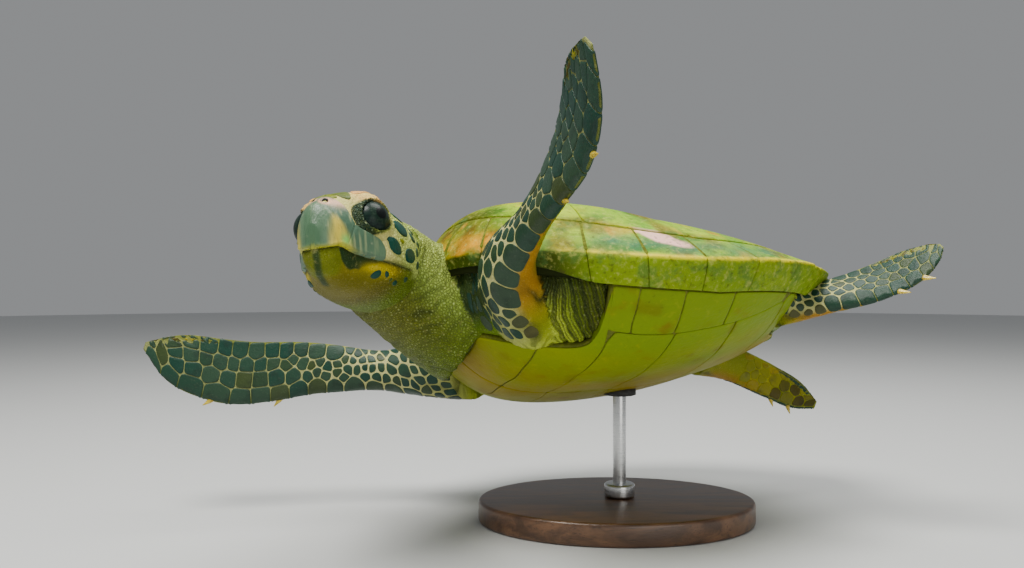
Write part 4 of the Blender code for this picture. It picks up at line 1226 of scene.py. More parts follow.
paint = np.where(on_head[:, None], mix(paint, head_colour, ramp(1.0, 1.10, neck_way)), paint)
# painted shade in the grooves of the folds on the shoulders, thighs and neck
paint = mix(paint, FOLD_SHADE, np.clip(1.2 * groove_shade, 0, 1) * 0.88)
# painted shade: the trunk's skin in the pocket under the front of the shell, beside the neck, is darkened
hollow = ramp(-0.030, -0.008, points[:, 2]) * ramp(0.085, 0.108, points[:, 0]) * is_part["trunk"]
paint = mix(paint, tint(24, 38, 24), hollow * 0.9)
put(skin, "paint", paint)
put(skin, "crease_course", crease_course)
put(skin, "crease_depth", crease_depth)
put(skin, "grain", np.clip(0.25 + 0.75 * in_neck * ramp(0.004, -0.020, hx) + 0.25 * is_part["trunk"]
                           + 0.75 * lids * on_head, 0, 1))

hide = Ink("hide", 0.55, Specular_IOR_Level=0.16)
colour = hide.attribute("paint", "Color")
grain = hide.attribute("grain")
pebble = hide.cells(420)
speck = hide.cells(950)
patches = hide.noise(38, 4)
fine = hide.noise(300, 3)
# painted shade in the gaps between the granules, then a painted highlight on their tops
colour = hide.blend(colour, (0.050, 0.060, 0.010), (1 - pebble.step(0.0, 0.16)) * grain * 0.60)
colour = hide.blend(colour, (0.62, 0.70, 0.36), pebble.step(0.22, 0.5) * grain * 0.30)
colour = hide.blend(colour, (0.05, 0.06, 0.01), patches.step(0.54, 0.74) * 0.30)
colour = hide.blend(colour, (0.55, 0.48, 0.16), fine.step(0.58, 0.75) * 0.20)
course = hide.attribute("crease_course") + patches * 0.5
fine_folds = hide.node("Math", {"operation": "SINE"}, (course * 18.85,)).step(0.0, 1.0)
fine_folds = fine_folds * hide.attribute("crease_depth")
# painted shade in the creases of the fine folds
colour = hide.blend(colour, (0.035, 0.045, 0.008), fine_folds * 0.55)
hide.set("Base Color", colour)
hide.set("Roughness", patches * 0.25 + 0.38)
hide.bump((pebble.step(0.0, 0.28) * grain, 0.0007), (speck.step(0.0, 0.3), 0.0002), (fine, 0.0003),
          (1 - fine_folds, 0.0011))
skin.data.materials.clear()
skin.data.materials.append(hide.material)
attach(skin, "root")
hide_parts("head", "lower_jaw", "neck", "trunk", "tail", "arm_left", "arm_right",
            "front_flipper_left", "front_flipper_right", "leg_left", "leg_right",
            "hind_flipper_left", "hind_flipper_right")

# ------------------------------------------------------------------ beak
# The upper bill wears a sheath of horn, one thick plate with a hooked edge that overhangs the
# lower jaw.  It has nostrils near its top and a tan flame on each side, and grows on the skin.
NOSTRIL = np.array((0.0315, 0.0047, 0.0088))


def slab_outline():
    """Side view of the bill, forwards along the mouth and back up behind the nose."""
    xs = np.linspace(-0.0012, 0.070, 60)
    low = np.stack([xs, mouth_height(xs)], 1)
    zs = np.linspace(0.040, -0.0320, 52)
    back = np.stack([smooth_curve([(-z, x) for z, x in BEAK_BACK], -zs)[:, 0], zs], 1)
    return np.concatenate([low, [(0.070, 0.040)], back])


def sculpt_beak(p):
    """Nostrils, a ridge between them and fine growth lines."""
    p = p.copy()
    out = unit((p - (0.010, 0, -0.014)) * (0.8, 1, 1))
    for side in (1, -1):
        d = p - NOSTRIL * (1, side, 1)
        flat = d - (d * out).sum(-1, keepdims=True) * out
        reach = np.hypot(flat[..., 0] * 0.7, flat[..., 1] * 1.1) + np.abs(flat[..., 2]) * 0.5
        p -= out * (0.0030 * np.exp(-(reach / 0.0024) ** 4))[..., None]
        p += out * (0.0006 * np.exp(-((reach - 0.0026) / 0.0009) ** 2))[..., None]
    drop = p[..., 2] - mouth_height(p[..., 0])
    edge = np.exp(-((drop - 0.0016) / 0.0016) ** 2)
    seam = np.abs(p[..., 0] - 0.0180 - 0.62 * np.clip(-0.008 - p[..., 2], 0, 0.02))
    seam = np.exp(-(seam / 0.0006) ** 2) * ramp(-0.024, -0.018, p[..., 2]) * ramp(-0.005, -0.009, p[..., 2])
    p += out * (0.0005 * edge - 0.0005 * seam)[..., None]
    return p


beak_xs = HEAD_TIP - (HEAD_TIP + 0.014) * np.linspace(0, 1, 150) ** 1.5
beak_grid = np.array([head_ring(x, head_share) for x in beak_xs[::-1]])
nose = beak_grid[-1].mean(0)
closing = [nose + (beak_grid[-1] - nose) * k + (0.0006 * (1 - k), 0, 0) for k in (0.8, 0.5, 0.2)]
beak_grid = np.concatenate([beak_grid, closing])
beak_grid = sculpt_beak(sculpt_head(beak_grid))
beak_points, beak_faces = tube(head_to_body(beak_grid))
beak = face_out(mesh_object("beak", beak_points, beak_faces))
outline = slab_outline()
count = len(outline)
prism = np.concatenate([np.insert(outline, 1, side, axis=1) for side in (-0.06, 0.06)])
prism_faces = [list(range(count))[::-1], list(range(count, 2 * count))]
prism_faces += [(k, (k + 1) % count, count + (k + 1) % count, count + k) for k in range(count)]
block = face_out(mesh_object("bill_block", head_to_body(prism), prism_faces))
cut = beak.modifiers.new("cut", "BOOLEAN")
cut.operation, cut.object, cut.solver = "INTERSECT", block, "EXACT"
bpy.context.view_layer.objects.active = beak
bpy.ops.object.modifier_apply(modifier="cut")
bpy.data.objects.remove(block)

p = body_to_head(points_of(beak))
bx, by, bz = p.T
grow = mottle(np.stack([bx * 1.0, np.abs(by) * 1.2, bz * 0.15], 1), 0.0022, 21)
horn = mix(tint(88, 114, 86, 1.0), tint(58, 90, 72, 1.0), 0.5 + 0.5 * mottle(p, 0.012, 22))
horn = mix(horn, tint(146, 156, 112, 1.0), ramp(0.10, 0.8, grow) * 0.65)
low = np.clip((-0.004 - bz) / 0.020, 0, 1)
flame_x = 0.0345 - 0.0010 * low
flame = np.exp(-(np.abs((bx - flame_x) / (0.0030 + 0.0062 * low)) ** 3)) * ramp(0.000, -0.008, bz)
flame = flame * ramp(0.0080, 0.0115, np.abs(by))
horn = mix(horn, tint(200, 182, 96, 1.2), np.clip(flame * (0.85 + 0.2 * grow), 0, 1))
mint = np.exp(-(((bx - 0.0295) / 0.0040) ** 2 + ((bz + 0.0200) / 0.0036) ** 2)) * (np.abs(by) > 0.008)
horn = mix(horn, tint(140, 196, 130), mint * 0.75)
nose_top = np.exp(-((bz - 0.0075) / 0.0036) ** 2) * ramp(0.037, 0.030, bx) * ramp(0.004, 0.008, np.abs(by))
horn = mix(horn, tint(224, 184, 160), nose_top * 0.75)
middle = ramp(0.0085, 0.0055, np.abs(by)) * ramp(0.004, -0.004, bz)
horn = mix(horn, tint(54, 88, 62, 1.0), middle * (0.65 + 0.35 * grow))
tomium = np.exp(-((bz - mouth_height(bx)) / 0.0018) ** 2)
horn = mix(horn, tint(176, 176, 92), tomium * 0.8 * ramp(0.012, 0.030, bx))
for side in (1, -1):
    hole = np.linalg.norm((p - NOSTRIL * (1, side, 1)) * (0.7, 1.1, 0.6), axis=1)
    horn = mix(horn, tint(226, 184, 160), np.exp(-((hole - 0.0034) / 0.0011) ** 2) * 0.6)
    # the nostril openings are painted near black, the shade inside them
    horn = mix(horn, tint(8, 14, 12), 1 - ramp(0.0022, 0.0031, hole))
put(beak, "paint", horn)
sheath = Ink("horn", 0.42, Specular_IOR_Level=0.30, Coat_Weight=0.06, Coat_Roughness=0.3)
lines = sheath.noise(1, 3, 0.6, sheath.stretch((900, 900, 90)))
worn = sheath.noise(160, 4)
colour = sheath.attribute("paint", "Color")
colour = sheath.blend(colour, (0.02, 0.04, 0.03), lines.step(0.52, 0.75) * 0.35)
colour = sheath.blend(colour, (0.50, 0.48, 0.30), worn.step(0.60, 0.76) * 0.25)
sheath.set("Base Color", colour)
sheath.set("Roughness", worn * 0.3 + 0.22)
sheath.bump((lines, 0.0003), (worn, 0.0003))
beak.data.materials.clear()
beak.data.materials.append(sheath.material)
beak.data.shade_smooth()
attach(beak, "root")
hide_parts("beak")

# ------------------------------------------------------------------ eyes
# Glass eyes as a museum would set them: near-black green balls with a wide pupil, deep in
# their lids.
# soft edges of the pupil and the iris, in degrees from the way that the eye looks
PUPIL_EDGE, IRIS_EDGE = (17.0, 19.0), (33.0, 36.0)
for name, side in (("eye_left", 1), ("eye_right", -1)):
    bpy.ops.mesh.primitive_uv_sphere_add(segments=64, ring_count=40, radius=EYE_RADIUS - 0.0002)
    eye = bpy.context.object
    eye.name = name
    eye.data.name = name
    axis = EYE_AXIS * (1, side, 1)
    turn_to = Vector(axis).to_track_quat("Z", "Y").to_matrix()
    ball = np.array([turn_to @ v.co for v in eye.data.vertices])
    gaze = unit(ball) @ axis
    body_points = head_to_body(ball + EYE_PLACE * (1, side, 1))
    set_points(eye, body_points)
    put(eye, "gaze", np.degrees(np.arccos(np.clip(gaze, -1, 1))))
    glass = Ink(name + "_glass", 0.34, Specular_IOR_Level=0.12, Coat_Weight=0.04, Coat_Roughness=0.10)
    angle = glass.attribute("gaze")
    fleck = glass.noise(700, 4)
    iris = glass.blend((0.006, 0.018, 0.012), (0.020, 0.036, 0.024), fleck.step(0.45, 0.65))
    sclera = glass.blend((0.008, 0.022, 0.016), (0.004, 0.012, 0.010), fleck.step(0.4, 0.6))
    colour = glass.blend(iris, sclera, angle.step(*IRIS_EDGE))
    colour = glass.blend((0.003, 0.005, 0.005), colour, angle.step(*PUPIL_EDGE))
    glass.set("Base Color", colour)
    eye.data.materials.append(glass.material)
    eye.data.shade_smooth()
    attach(eye, "root")
    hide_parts(name)
    eye.select_set(False)

# ------------------------------------------------------------------ scales on the limbs
# Thin horn scales grow on the skin: big ones in a row along the leading edge, smaller ones
# between, and small polygons near the wrist, with the pale skin showing between them.
# A row is its share of the breadth, its pitch, and where it starts and stops; a fill is the
# size of the scales in between by their place along the limb.
FRONT_ROWS = [(0.13, 0.0185, 0.17, 0.985), (0.40, 0.0150, 0.56, 0.95), (0.86, 0.0150, 0.42, 0.97),
              (0.64, 0.0125, 0.62, 0.93)]
FRONT_FILL = [(0.0, 0.0080), (0.2, 0.0085), (0.40, 0.0070), (0.55, 0.0070), (0.7, 0.0095),
              (1.0, 0.0120)]
HIND_ROWS = [(0.14, 0.0120, 0.30, 0.98), (0.86, 0.0100, 0.40, 0.95)]
HIND_FILL = [(0.0, 0.0060), (0.3, 0.0065), (0.6, 0.0080), (1.0, 0.0095)]
UNDER_ROWS = [(0.20, 0.0150, 0.45, 0.96)]
UNDER_FILL = [(0.0, 0.0080), (0.4, 0.0085), (1.0, 0.0120)]
SCALE_HIGH = 0.00062
hide_tree = BVHTree.FromObject(skin, bpy.context.evaluated_depsgraph_get())


def settle(points, normals, reach=0.0006):
    """Drop points onto the finished skin; gives their place and the way it faces there."""
    start = to_world(points + normals * reach)
    place, facing = np.empty_like(start), np.empty_like(start)
    for i, p in enumerate(start):
        hit, normal, _, _ = hide_tree.find_nearest(p)
        place[i], facing[i] = hit, normal
    facing = facing @ BODY_AXES
    facing = np.where((facing * normals).sum(1, keepdims=True) < 0, normals, facing)
    return (place - BODY_PLACE) @ BODY_AXES, facing


class Sheet:
    """One face of a limb, charted by metres along it and round it from its leading edge."""

    def __init__(self, name, face):
        self.limb = LIMBS[name]
        spine = np.array(self.limb["spine"])[:, 1:]
        self.length = np.linalg.norm(np.diff(spine, axis=0), axis=1).sum()
        sign = face if name.endswith("right") else -face
        self.angles = sign * np.append(np.linspace(-0.9, 0, 10)[:-1], np.linspace(0, 3.5, 64))
        t = np.linspace(0, 1, 101)
        arc, _ = self.arcs(t)
        turn = np.abs(self.angles - sign * math.pi).argmin()
        self.breadth = np.stack([t, arc[:, turn]], 1)

    def arcs(self, t):
        rings = limb_rings(self.limb, t, self.angles, COAT)
        steps = np.linalg.norm(np.diff(rings, axis=1), axis=2)
        arc = np.concatenate([np.zeros((len(t), 1)), np.cumsum(steps, 1)], 1)
        return arc - arc[:, 9:10], rings

    def width(self, t):
        return np.interp(t, *self.breadth.T)

    def ground(self, flat):
        t = np.clip(flat[:, 0] / self.length, 0.004, 0.996)
        arc, rings = self.arcs(t)
        i = np.clip((arc <= flat[:, 1:]).sum(1) - 1, 0, arc.shape[1] - 2)
        n = np.arange(len(t))
        f = np.clip((flat[:, 1] - arc[n, i]) / (arc[n, i + 1] - arc[n, i] + 1e-12), 0, 1)[:, None]
        here = rings[n, i] * (1 - f) + rings[n, i + 1] * f
        tangent = unit(rings[n, i + 1] - rings[n, i])
        spine = self.limb["spine"]
        along = unit(smooth_curve(spine, np.minimum(t + .01, 1)) - smooth_curve(spine, t - .01))
        normal = unit(np.cross(tangent, along))
        outward = ((here - rings.mean(1)) * normal).sum(1, keepdims=True)
        normal = normal * np.sign(outward)
        return settle(here, normal)


def scatter(sheet, rows, fill, start, stop, rng):
    """Seeds of scales: set rows along the limb, then others fitted in between."""
    seeds, sizes = [], []
    for share, pitch, first, last in rows:
        u = first * sheet.length
        while u < last * sheet.length:
            size = pitch * rng.uniform(0.85, 1.15)
            u += size / 2
            w = sheet.width(u / sheet.length)
            seeds.append((u, share * w + rng.uniform(-0.0006, 0.0006)))
            sizes.append(size)
            u += size / 2
    for _ in range(9000):
        t, share = rng.uniform(start, stop), rng.uniform(0.04, 0.97)
        size = float(smooth_curve(fill, t)[0]) * rng.uniform(0.85, 1.15)
        w = sheet.width(t)
        if w < 0.008:
            continue
        seed = (t * sheet.length, share * w)
        near = np.hypot(*(np.array(seeds) - seed).T) < 0.52 * (np.array(sizes) + size)
        if not near.any():
            seeds.append(seed)
            sizes.append(size)
    return np.array(seeds), np.array(sizes)


def limb_plates(name, face, rows, fill, span, gaps, seed):
    """Scales on one face of a limb (1 upper, -1 lower), and the chart that they lie on."""
    sheet = Sheet(name, face)
    rng = np.random.default_rng(seed)
    seeds, sizes = scatter(sheet, rows, fill, *span, rng)
    plates = Plates()

    def ground_of(i):
        u, w = seeds[i]
        wide = float(sheet.width(u / sheet.length))
        r = sizes[i] * 0.95
        over = 0.0030 if face > 0 else -0.0030
        box = np.array([(u - r, w - r), (u + r, w - r), (u + r, w + r), (u - r, w + r)])
        turns = [(math.cos(a), math.sin(a)) for a in np.arange(8) * math.pi / 4 + 0.4]
        for direction in turns:
            box = trim(box, np.array(direction), seeds[i] @ direction + r)
        box = trim(box, np.array((0.0, -1.0)), over)
        box = trim(box, np.array((0.0, 1.0)), wide - (0.0004 if face > 0 else 0.0022))
        return trim(box, np.array((1.0, 0.0)), sheet.length * 0.992)

    outlines = cells(seeds, sizes, 0.0, ground_of)
    for (u, w), size, outline in zip(seeds, sizes, outlines):
        if len(outline) < 3:
            continue
        t = u / sheet.length
        share = w / max(float(sheet.width(t)), 1e-6)
        gap = np.interp(t, [0.1, 0.5], gaps) * rng.uniform(0.8, 1.2)
        gap *= 1 + 0.5 * (share > 0.55) * (t < 0.4)
        middle = outline.mean(0)
        reach = np.hypot(*(outline - middle).T).mean()
        if reach < gap * 0.5 + 0.0012:
            continue
        outline = middle + (outline - middle) * (1 - gap / 2 / reach)
        corner = 0.0010 + 0.30 * size * np.interp(t, [0.1, 0.6], [1.0, 0.35])
        outline = rounded(outline, corner, 0.0009)
        high = np.clip(size / 0.014, 0.5, 1.0) * SCALE_HIGH
        rings = [(-0.0001, -0.00035), (0.0, high * 0.45), (0.00035, high * 0.85),
                 (0.0011, high), (size * 0.25, high * 1.04)]
        half = 0.26 if face > 0 else 0.76
        home = (0.02 + 0.96 * t, half + 0.44 * (share - 0.5))
        plates.add(outline, rings, (rng.random(), t, share * face), home)
    return plates, sheet


def paint_scales(made, plates):
    """Dark green-grey above, orange-brown edges and yellow plates below."""
    tone, t, share = np.concatenate(plates.marks).T
    dark = mix(tint(30, 52, 44), tint(46, 62, 50), tone)
    dark = mix(dark, tint(60, 62, 30), ramp(0.75, 1.0, np.mod(tone * 7, 1)) * 0.5)
    warm = ramp(0.16, 0.0, share) * ramp(0.62, 0.40, t) * (share >= 0)
    dark = mix(dark, tint(96, 84, 16), warm * 0.55)
    pale = mix(tint(132, 122, 14), tint(112, 114, 14), tone)
    deep = ramp(0.45, 0.8, np.mod(tone * 5, 1) + 0.5 * ramp(0.45, 0.9, t) - 0.25)
    below = mix(pale, tint(44, 40, 14), deep * 0.85)
    put(made, "paint", np.where((share < 0)[:, None], below, dark))


scale_ink = Ink("scales", 0.42, Specular_IOR_Level=0.22)
own = scale_ink.attribute("paint", "Color")
soft = scale_ink.noise(90, 4)
fibre = scale_ink.noise(600, 4)
own = scale_ink.blend(own, (0.004, 0.008, 0.006), soft.step(0.50, 0.70) * 0.35)
own = scale_ink.blend(own, (0.11, 0.13, 0.075), fibre.step(0.56, 0.74) * 0.22)
scale_ink.set("Base Color", own)
scale_ink.set("Roughness", soft * 0.3 + 0.26)
scale_ink.bump((fibre, 0.0003), (soft, 0.0006))

for number, name in enumerate(LIMBS):
    fore = name.startswith("front")
    rows, fill, start = (FRONT_ROWS, FRONT_FILL, 0.07) if fore else (HIND_ROWS, HIND_FILL, 0.10)
    upper = limb_plates(name, 1, rows, fill, (start, 0.985), (0.0022, 0.0010), 60 + number)
    lower = limb_plates(name, -1, UNDER_ROWS, UNDER_FILL, (0.42 if fore else 0.40, 0.97),
                        (0.0020, 0.0012), 80 + number)
    for face, (plates, sheet) in (("upper", upper), ("lower", lower)):
        made = plates.build(f"scales_{name}_{face}", sheet.ground, scale_ink)
        paint_scales(made, plates)
        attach(made, "root")

# ------------------------------------------------------------------ scales on the head
# Large dark scales lie behind the eye and over the crown, in pairs, with pale skin between
# them, and dark spots along the lower jaw.  They are the same thin horn as the limbs' scales.
SIDE_SCALES = [  # outlines as (forwards, up) in millimetres, with a shade
    ([(-15.5, -5), (-20, -1), (-34, 0.5), (-40, -5), (-33, -12.5), (-21.5, -11.8)], 0.0),
    ([(-4.5, -15), (-10, -14.5), (-17.5, -18.5), (-19.5, -24.5), (-17, -27.5), (-11, -27.3),
      (-6, -24)], 0.0),
    ([(-25.5, -22.2), (-33, -20.3), (-40, -22), (-43, -27), (-37.5, -31.5), (-26, -31.5),
      (-23.5, -27)], 0.0),
    ([(-32, 8.5), (-38, 8.2), (-46, 4), (-49, 1.5), (-44, 1.8), (-36, 3.8)], 0.0),
    ([(-42, -7), (-46.5, -6), (-49.5, -11), (-47, -15.5), (-41.5, -13.5)], 0.2),
    ([(-46, -19), (-50, -18), (-52, -23), (-48, -26), (-45.5, -24)], 0.25),
    ([(-47, -29), (-51, -28), (-53, -32), (-50, -35), (-46, -33)], 0.3),
    ([(-52, -13), (-55, -12), (-56, -16), (-53, -18)], 0.3),
    ([(-51, -1), (-55, 0), (-57, -5), (-53, -8), (-50, -6)], 0.3),
    ([(-19.5, -14.5), (-24, -14.8), (-25.5, -17.5), (-21.5, -19.0), (-19.5, -17)], 0.6),
    ([(4.7, -41.9), (2.1, -39.2), (-1.4, -38.4), (-2.9, -42.0), (-0.6, -44.6), (3.8, -43.9)], 0.05),
    ([(-5.2, -38.9), (-8.2, -39.5), (-10.4, -42.3), (-8.2, -43.6), (-5.8, -41.5)], 0.05),
    ([(-18, -45.6), (-21.5, -44.0), (-25.5, -46.8), (-21, -48.0)], 0.05),
    ([(-30, -42), (-34, -41), (-36, -43.5), (-33, -45.5)], 0.3),
    ([(-12.5, -43.5), (-15, -43), (-16, -45.2), (-13.5, -46)], 0.4),
]
CROWN_SCALES = [  # outlines as (forwards, aside)
    ([(24.5, 0.8), (24, 6.5), (18, 9.0), (16.5, 5.5), (16, 0.8)], 0.55),
    ([(14.8, 0.8), (15.3, 5.8), (17, 10.2), (13, 16.5), (6, 12.0), (4, 0.8)], 0.45),
    ([(-19.5, 0.8), (-19, 7.5), (-24, 14), (-36, 12.5), (-38, 0.8)], 0.1),
    ([(-39.5, 0.8), (-37.5, 12.5), (-45, 16), (-53, 10), (-53, 0.8)], 0.15),
    ([(-25, 15.5), (-19, 19), (-22, 25), (-31, 26), (-38, 23), (-37, 14.5)], 0.1),
    ([(7, 14.5), (1, 10.5), (-16, 9.5), (-21.5, 15), (-16, 21.5), (-4, 22.0), (5, 19)], 0.9),
    ([(-40, 19), (-47, 17.5), (-52, 22), (-48, 26), (-41, 25)], 0.25),
]
FRONTAL = [(2.5, 0), (0, 8), (-14, 8), (-17.5, 5), (-17.5, -5), (-14, -8), (0, -8)]


def cast(points, toward):
    """Where rays from points in the head's frame meet the skin."""
    start, line = to_world(head_to_body(points)), BODY_AXES @ HEAD_AXES @ np.array(toward)
    place, facing = np.empty_like(start), np.empty_like(start)
    for i, p in enumerate(start):
        hit, normal, _, _ = hide_tree.ray_cast(p, line)
        if hit is None:
            hit, normal, _, _ = hide_tree.find_nearest(p + line * 0.08)
        place[i], facing[i] = hit, normal
    return (place - BODY_PLACE) @ BODY_AXES, facing @ BODY_AXES


def side_ground(side):
    def ground(flat):
        start = np.stack([flat[:, 0], np.full(len(flat), side * 0.08), flat[:, 1]], 1)
        return cast(start, (0, -side, 0))
    return ground


def crown_ground(flat):
    return cast(np.stack([flat[:, 0], flat[:, 1], np.full(len(flat), 0.06)], 1), (0, 0, -1))


def head_scale(plates, outline, shade, side):
    outline = np.array(outline, float) / 1000
    size = np.hypot(*(outline - outline.mean(0)).T).mean()
    outline = rounded(outline, 0.0012 + 0.28 * size, 0.0006)
    home = ((outline[:, 0].mean() + 0.062) / 0.112, (outline[:, 1].mean() + 0.065) / 0.13)
    rings = [(-0.0001, -0.0004), (0.0, 0.0003), (0.0004, 0.00055), (0.0012, 0.0007)]
    rings += [(0.0012 * k, 0.00072) for k in range(2, 8)]
    plates.add(outline * (1, side), rings, (shade, 0, 0), home)


def paint_head_scales(made, plates):
    shade = np.concatenate(plates.marks)[:, 0]
    colour = mix(tint(24, 58, 50), tint(44, 64, 48), ramp(0.0, 0.3, shade))
    colour = mix(colour, tint(112, 118, 64), ramp(0.3, 0.6, shade))
    colour = mix(colour, tint(206, 166, 124), ramp(0.7, 0.9, shade))
    put(made, "paint", colour)


for name, side in (("left", 1), ("right", -1)):
    plates = Plates()
    for outline, shade in SIDE_SCALES:
        head_scale(plates, outline, shade, 1)
    made = plates.build("scales_head_" + name, side_ground(side), scale_ink)
    paint_head_scales(made, plates)
    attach(made, "root")
plates = Plates()
for outline, shade in CROWN_SCALES:
    for side in (1, -1):
        head_scale(plates, outline, shade, side)
head_scale(plates, FRONTAL, 0.2, 1)
made = plates.build("scales_crown", crown_ground, scale_ink)
paint_head_scales(made, plates)
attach(made, "root")

# ------------------------------------------------------------------ claws
# Two pale horn claws grow from the leading edge of each flipper, curved towards its tip.
# Each is rooted in the skin and tapers to a blunt point.
CLAW_LENGTH, CLAW_THICK, CLAW_SUNK = 0.009, 0.0024, 0.0025
CLAW_LEAN = math.radians(35)
claw_ink = Ink("claw_horn", 0.35, Coat_Weight=0.2, Coat_Roughness=0.2)
vein = claw_ink.noise(500, 3)
claw_ink.set("Base Color", claw_ink.blend(tint(196, 180, 112), tint(150, 130, 74), vein.step(0.4, 0.65)))
claw_ink.bump((vein, 0.0002))
for name, limb in LIMBS.items():
    for number, t in enumerate((0.62, 0.79) if name.startswith("front") else (0.66, 0.80), 1):
        here, ahead = (smooth_curve(limb["spine"], v) for v in (t, t + 0.03))
        along = unit(ahead - here)
        lead = smooth_curve(limb["lead_axis"], t)
        lead = unit(lead - (lead @ along) * along)
        out = lead * math.cos(CLAW_LEAN) + along * math.sin(CLAW_LEAN)
        up = unit(np.cross(along, lead))
        root = here + lead * (smooth_curve(limb["lead"], t)[0] - CLAW_SUNK)
        k = np.linspace(0, 1, 14)[:, None, None]
        a = np.arange(20)[:, None] * math.pi / 10
        girth = (np.cos(a) * np.cross(up, out) * 1.15 + np.sin(a) * up * 0.8) * CLAW_THICK
        claw_points, claw_faces = tube(root + out * CLAW_LENGTH * k + along * 0.0016 * k ** 2
                                       + girth * (1 - 0.9 * k ** 1.3))
        claw = face_out(mesh_object(f"claw_{name}_{number}", claw_points, claw_faces, claw_ink))
        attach(claw, "root")
        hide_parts(f"claw_{name}_{number}")

# ------------------------------------------------------------------ stand
# An oval walnut base carries a brushed steel rod in a turned collar, and a rubber pad under
# the plastron sits on its top.  The rod screws into the base through the collar.
BASE_LONG, BASE_BROAD, BASE_THICK = 0.125, 0.085, 0.020
ROD_PLACE, ROD_RADIUS, ROD_LOW, ROD_HIGH = (0.004, 0.006), 0.006, 0.0203, 0.1127
COLLAR_RADIUS, COLLAR_HIGH = 0.014, 0.012
PAD_RADIUS, PAD_LOW = 0.015, 0.113


def finish_piece(name, ink, edge):
    """Name the active solid, ease its edges and hand it over."""
    made = bpy.context.object
    made.name = made.data.name = name
    bpy.ops.object.transform_apply(location=True, rotation=True, scale=True)
    ease = made.modifiers.new("edge", "BEVEL")
    ease.width, ease.segments, ease.limit_method = edge, 4, "ANGLE"
    ease.angle_limit = math.radians(50)
    bpy.ops.object.modifier_apply(modifier="edge")
    made.data.materials.append(ink.material)
    made.data.shade_smooth()
    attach(made, "root")
    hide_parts(name)
    made.select_set(False)
    return made


walnut = Ink("walnut", 0.38, Coat_Weight=0.35, Coat_Roughness=0.25)
figure = walnut.noise(1, 4, 0.6, walnut.stretch((7, 60, 60)), 1.2)
pore = walnut.noise(1, 3, 0.6, walnut.stretch((60, 900, 900)))
wood = walnut.blend((0.060, 0.026, 0.011), (0.165, 0.078, 0.034), figure.step(0.35, 0.68))
wood = walnut.blend(wood, (0.022, 0.010, 0.005), pore.step(0.56, 0.70) * 0.7)
walnut.set("Base Color", wood)
walnut.set("Roughness", figure * 0.2 + 0.28)
walnut.bump((pore, 0.0002))
bpy.ops.mesh.primitive_cylinder_add(vertices=200, radius=BASE_LONG, depth=BASE_THICK,
                                    location=(0, 0, BASE_THICK / 2))
bpy.ops.transform.resize(value=(1, BASE_BROAD / BASE_LONG, 1))
finish_piece("stand_base", walnut, 0.003)

steel = Ink("brushed_steel", 0.28, Metallic=1.0)
brush = steel.noise(1, 2, 0.5, steel.stretch((60, 60, 2600)))
steel.set("Base Color", steel.blend((0.52, 0.53, 0.54), (0.66, 0.66, 0.66), brush.step(0.35, 0.65)))
steel.set("Roughness", brush * 0.25 + 0.18)
bpy.ops.mesh.primitive_cylinder_add(vertices=64, radius=ROD_RADIUS, depth=ROD_HIGH - ROD_LOW,
                                    location=(*ROD_PLACE, (ROD_LOW + ROD_HIGH) / 2))
finish_piece("stand_rod", steel, 0.0003)
bpy.ops.mesh.primitive_cylinder_add(vertices=96, radius=COLLAR_RADIUS, depth=COLLAR_HIGH,
                                    location=(*ROD_PLACE, ROD_LOW + COLLAR_HIGH / 2))
finish_piece("stand_collar", steel, 0.0022)

rubber = Ink("black_rubber", 0.75)
matt = rubber.noise(400, 3)
rubber.set("Base Color", rubber.blend((0.014, 0.014, 0.014), (0.035, 0.034, 0.032), matt.step(0.4, 0.7)))
rubber.bump((matt, 0.0002))
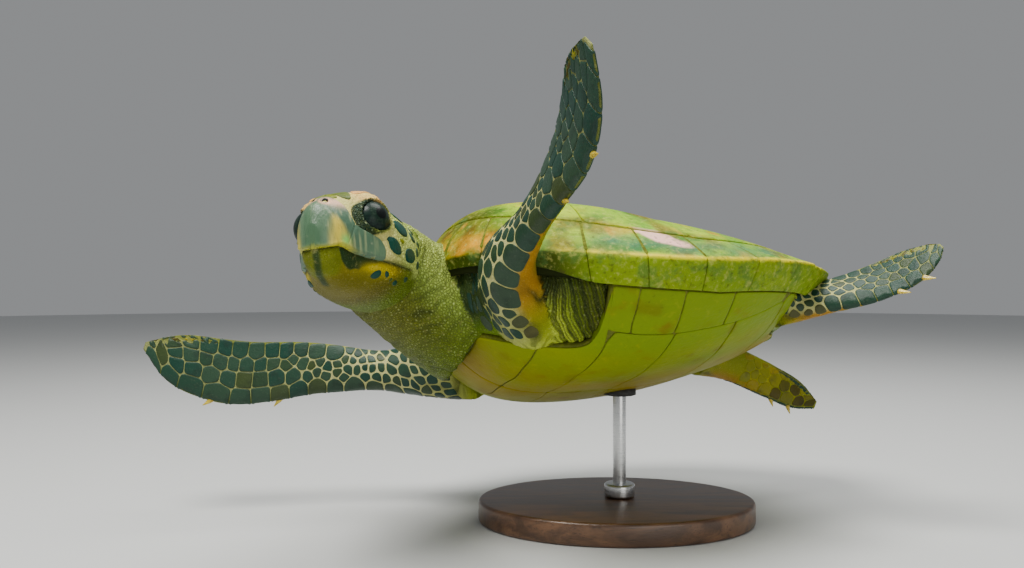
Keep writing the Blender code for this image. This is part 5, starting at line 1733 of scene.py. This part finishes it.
# the pad's top takes the shape of the belly over it
ready = bpy.context.evaluated_depsgraph_get()
belly_trees = [BVHTree.FromObject(piece, ready) for piece in (belly_plates, belly)]
a = np.arange(64) * math.pi / 32
rings = []
for radius, low in ((0.002, PAD_LOW), (0.0135, PAD_LOW), (PAD_RADIUS, PAD_LOW + 0.0006),
                    (PAD_RADIUS, None), (0.0135, None), (0.009, None), (0.005, None), (0.001, None)):
    ring = []
    for x, y in np.stack([ROD_PLACE[0] + radius * np.cos(a), ROD_PLACE[1] + radius * np.sin(a)], 1):
        found = [tree.ray_cast((x, y, 0.08), (0, 0, 1))[0] for tree in belly_trees]
        ring.append((x, y, low or min(f.z for f in found if f is not None) + 0.0001))
    rings.append(ring)
pad_points, pad_faces = tube((np.array(rings) - BODY_PLACE) @ BODY_AXES)
pad = face_out(mesh_object("stand_pad", pad_points, pad_faces, rubber))
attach(pad, "root")
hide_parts("stand_pad")

# ------------------------------------------------------------------ studio
# A pale floor, three soft lamps and a pale sky light the model evenly, and the camera looks at
# it from its left side, a little above the rim of the shell.
FLOOR_RADIUS = 6.0
bpy.ops.mesh.primitive_circle_add(vertices=96, radius=FLOOR_RADIUS, fill_type="NGON")
floor = bpy.context.object
floor.name = "floor"
pale = Ink("floor_paint", 0.6)
pale.set("Base Color", (0.54, 0.55, 0.55))
floor.data.materials.append(pale.material)


def area_light(name, place, aim, size, power, colour):
    data = bpy.data.lights.new(name, "AREA")
    data.shape, data.size, data.energy, data.color = "DISK", size, power, colour
    made = bpy.data.objects.new(name, data)
    bpy.context.collection.objects.link(made)
    made.location = place
    made.rotation_euler = (Vector(aim) - Vector(place)).to_track_quat("-Z", "Y").to_euler()


area_light("key", (-0.6, -0.7, 1.8), (0, 0, 0.2), 0.8, 52, (1.0, 0.98, 0.92))
area_light("top", (0.4, 0.3, 1.9), (0, 0, 0.2), 1.2, 34, (1.0, 0.99, 0.95))
area_light("fill", (0.7, -1.7, 0.35), (0, 0, 0.2), 1.2, 9, (1.0, 0.98, 0.92))
world = bpy.data.worlds.new("studio")
bpy.context.scene.world = world
world.use_nodes = True
world.node_tree.nodes["Background"].inputs["Color"].default_value = (0.80, 0.82, 0.84, 1)
world.node_tree.nodes["Background"].inputs["Strength"].default_value = 0.34

lens = bpy.data.cameras.new("camera")
lens.sensor_width, lens.lens = 36.0, 29.69
camera = bpy.data.objects.new("camera", lens)
bpy.context.collection.objects.link(camera)
camera.location = (-0.0945, -0.7682, 0.2145)
camera.rotation_euler = (math.radians(90), 0, 0)
bpy.context.scene.camera = camera
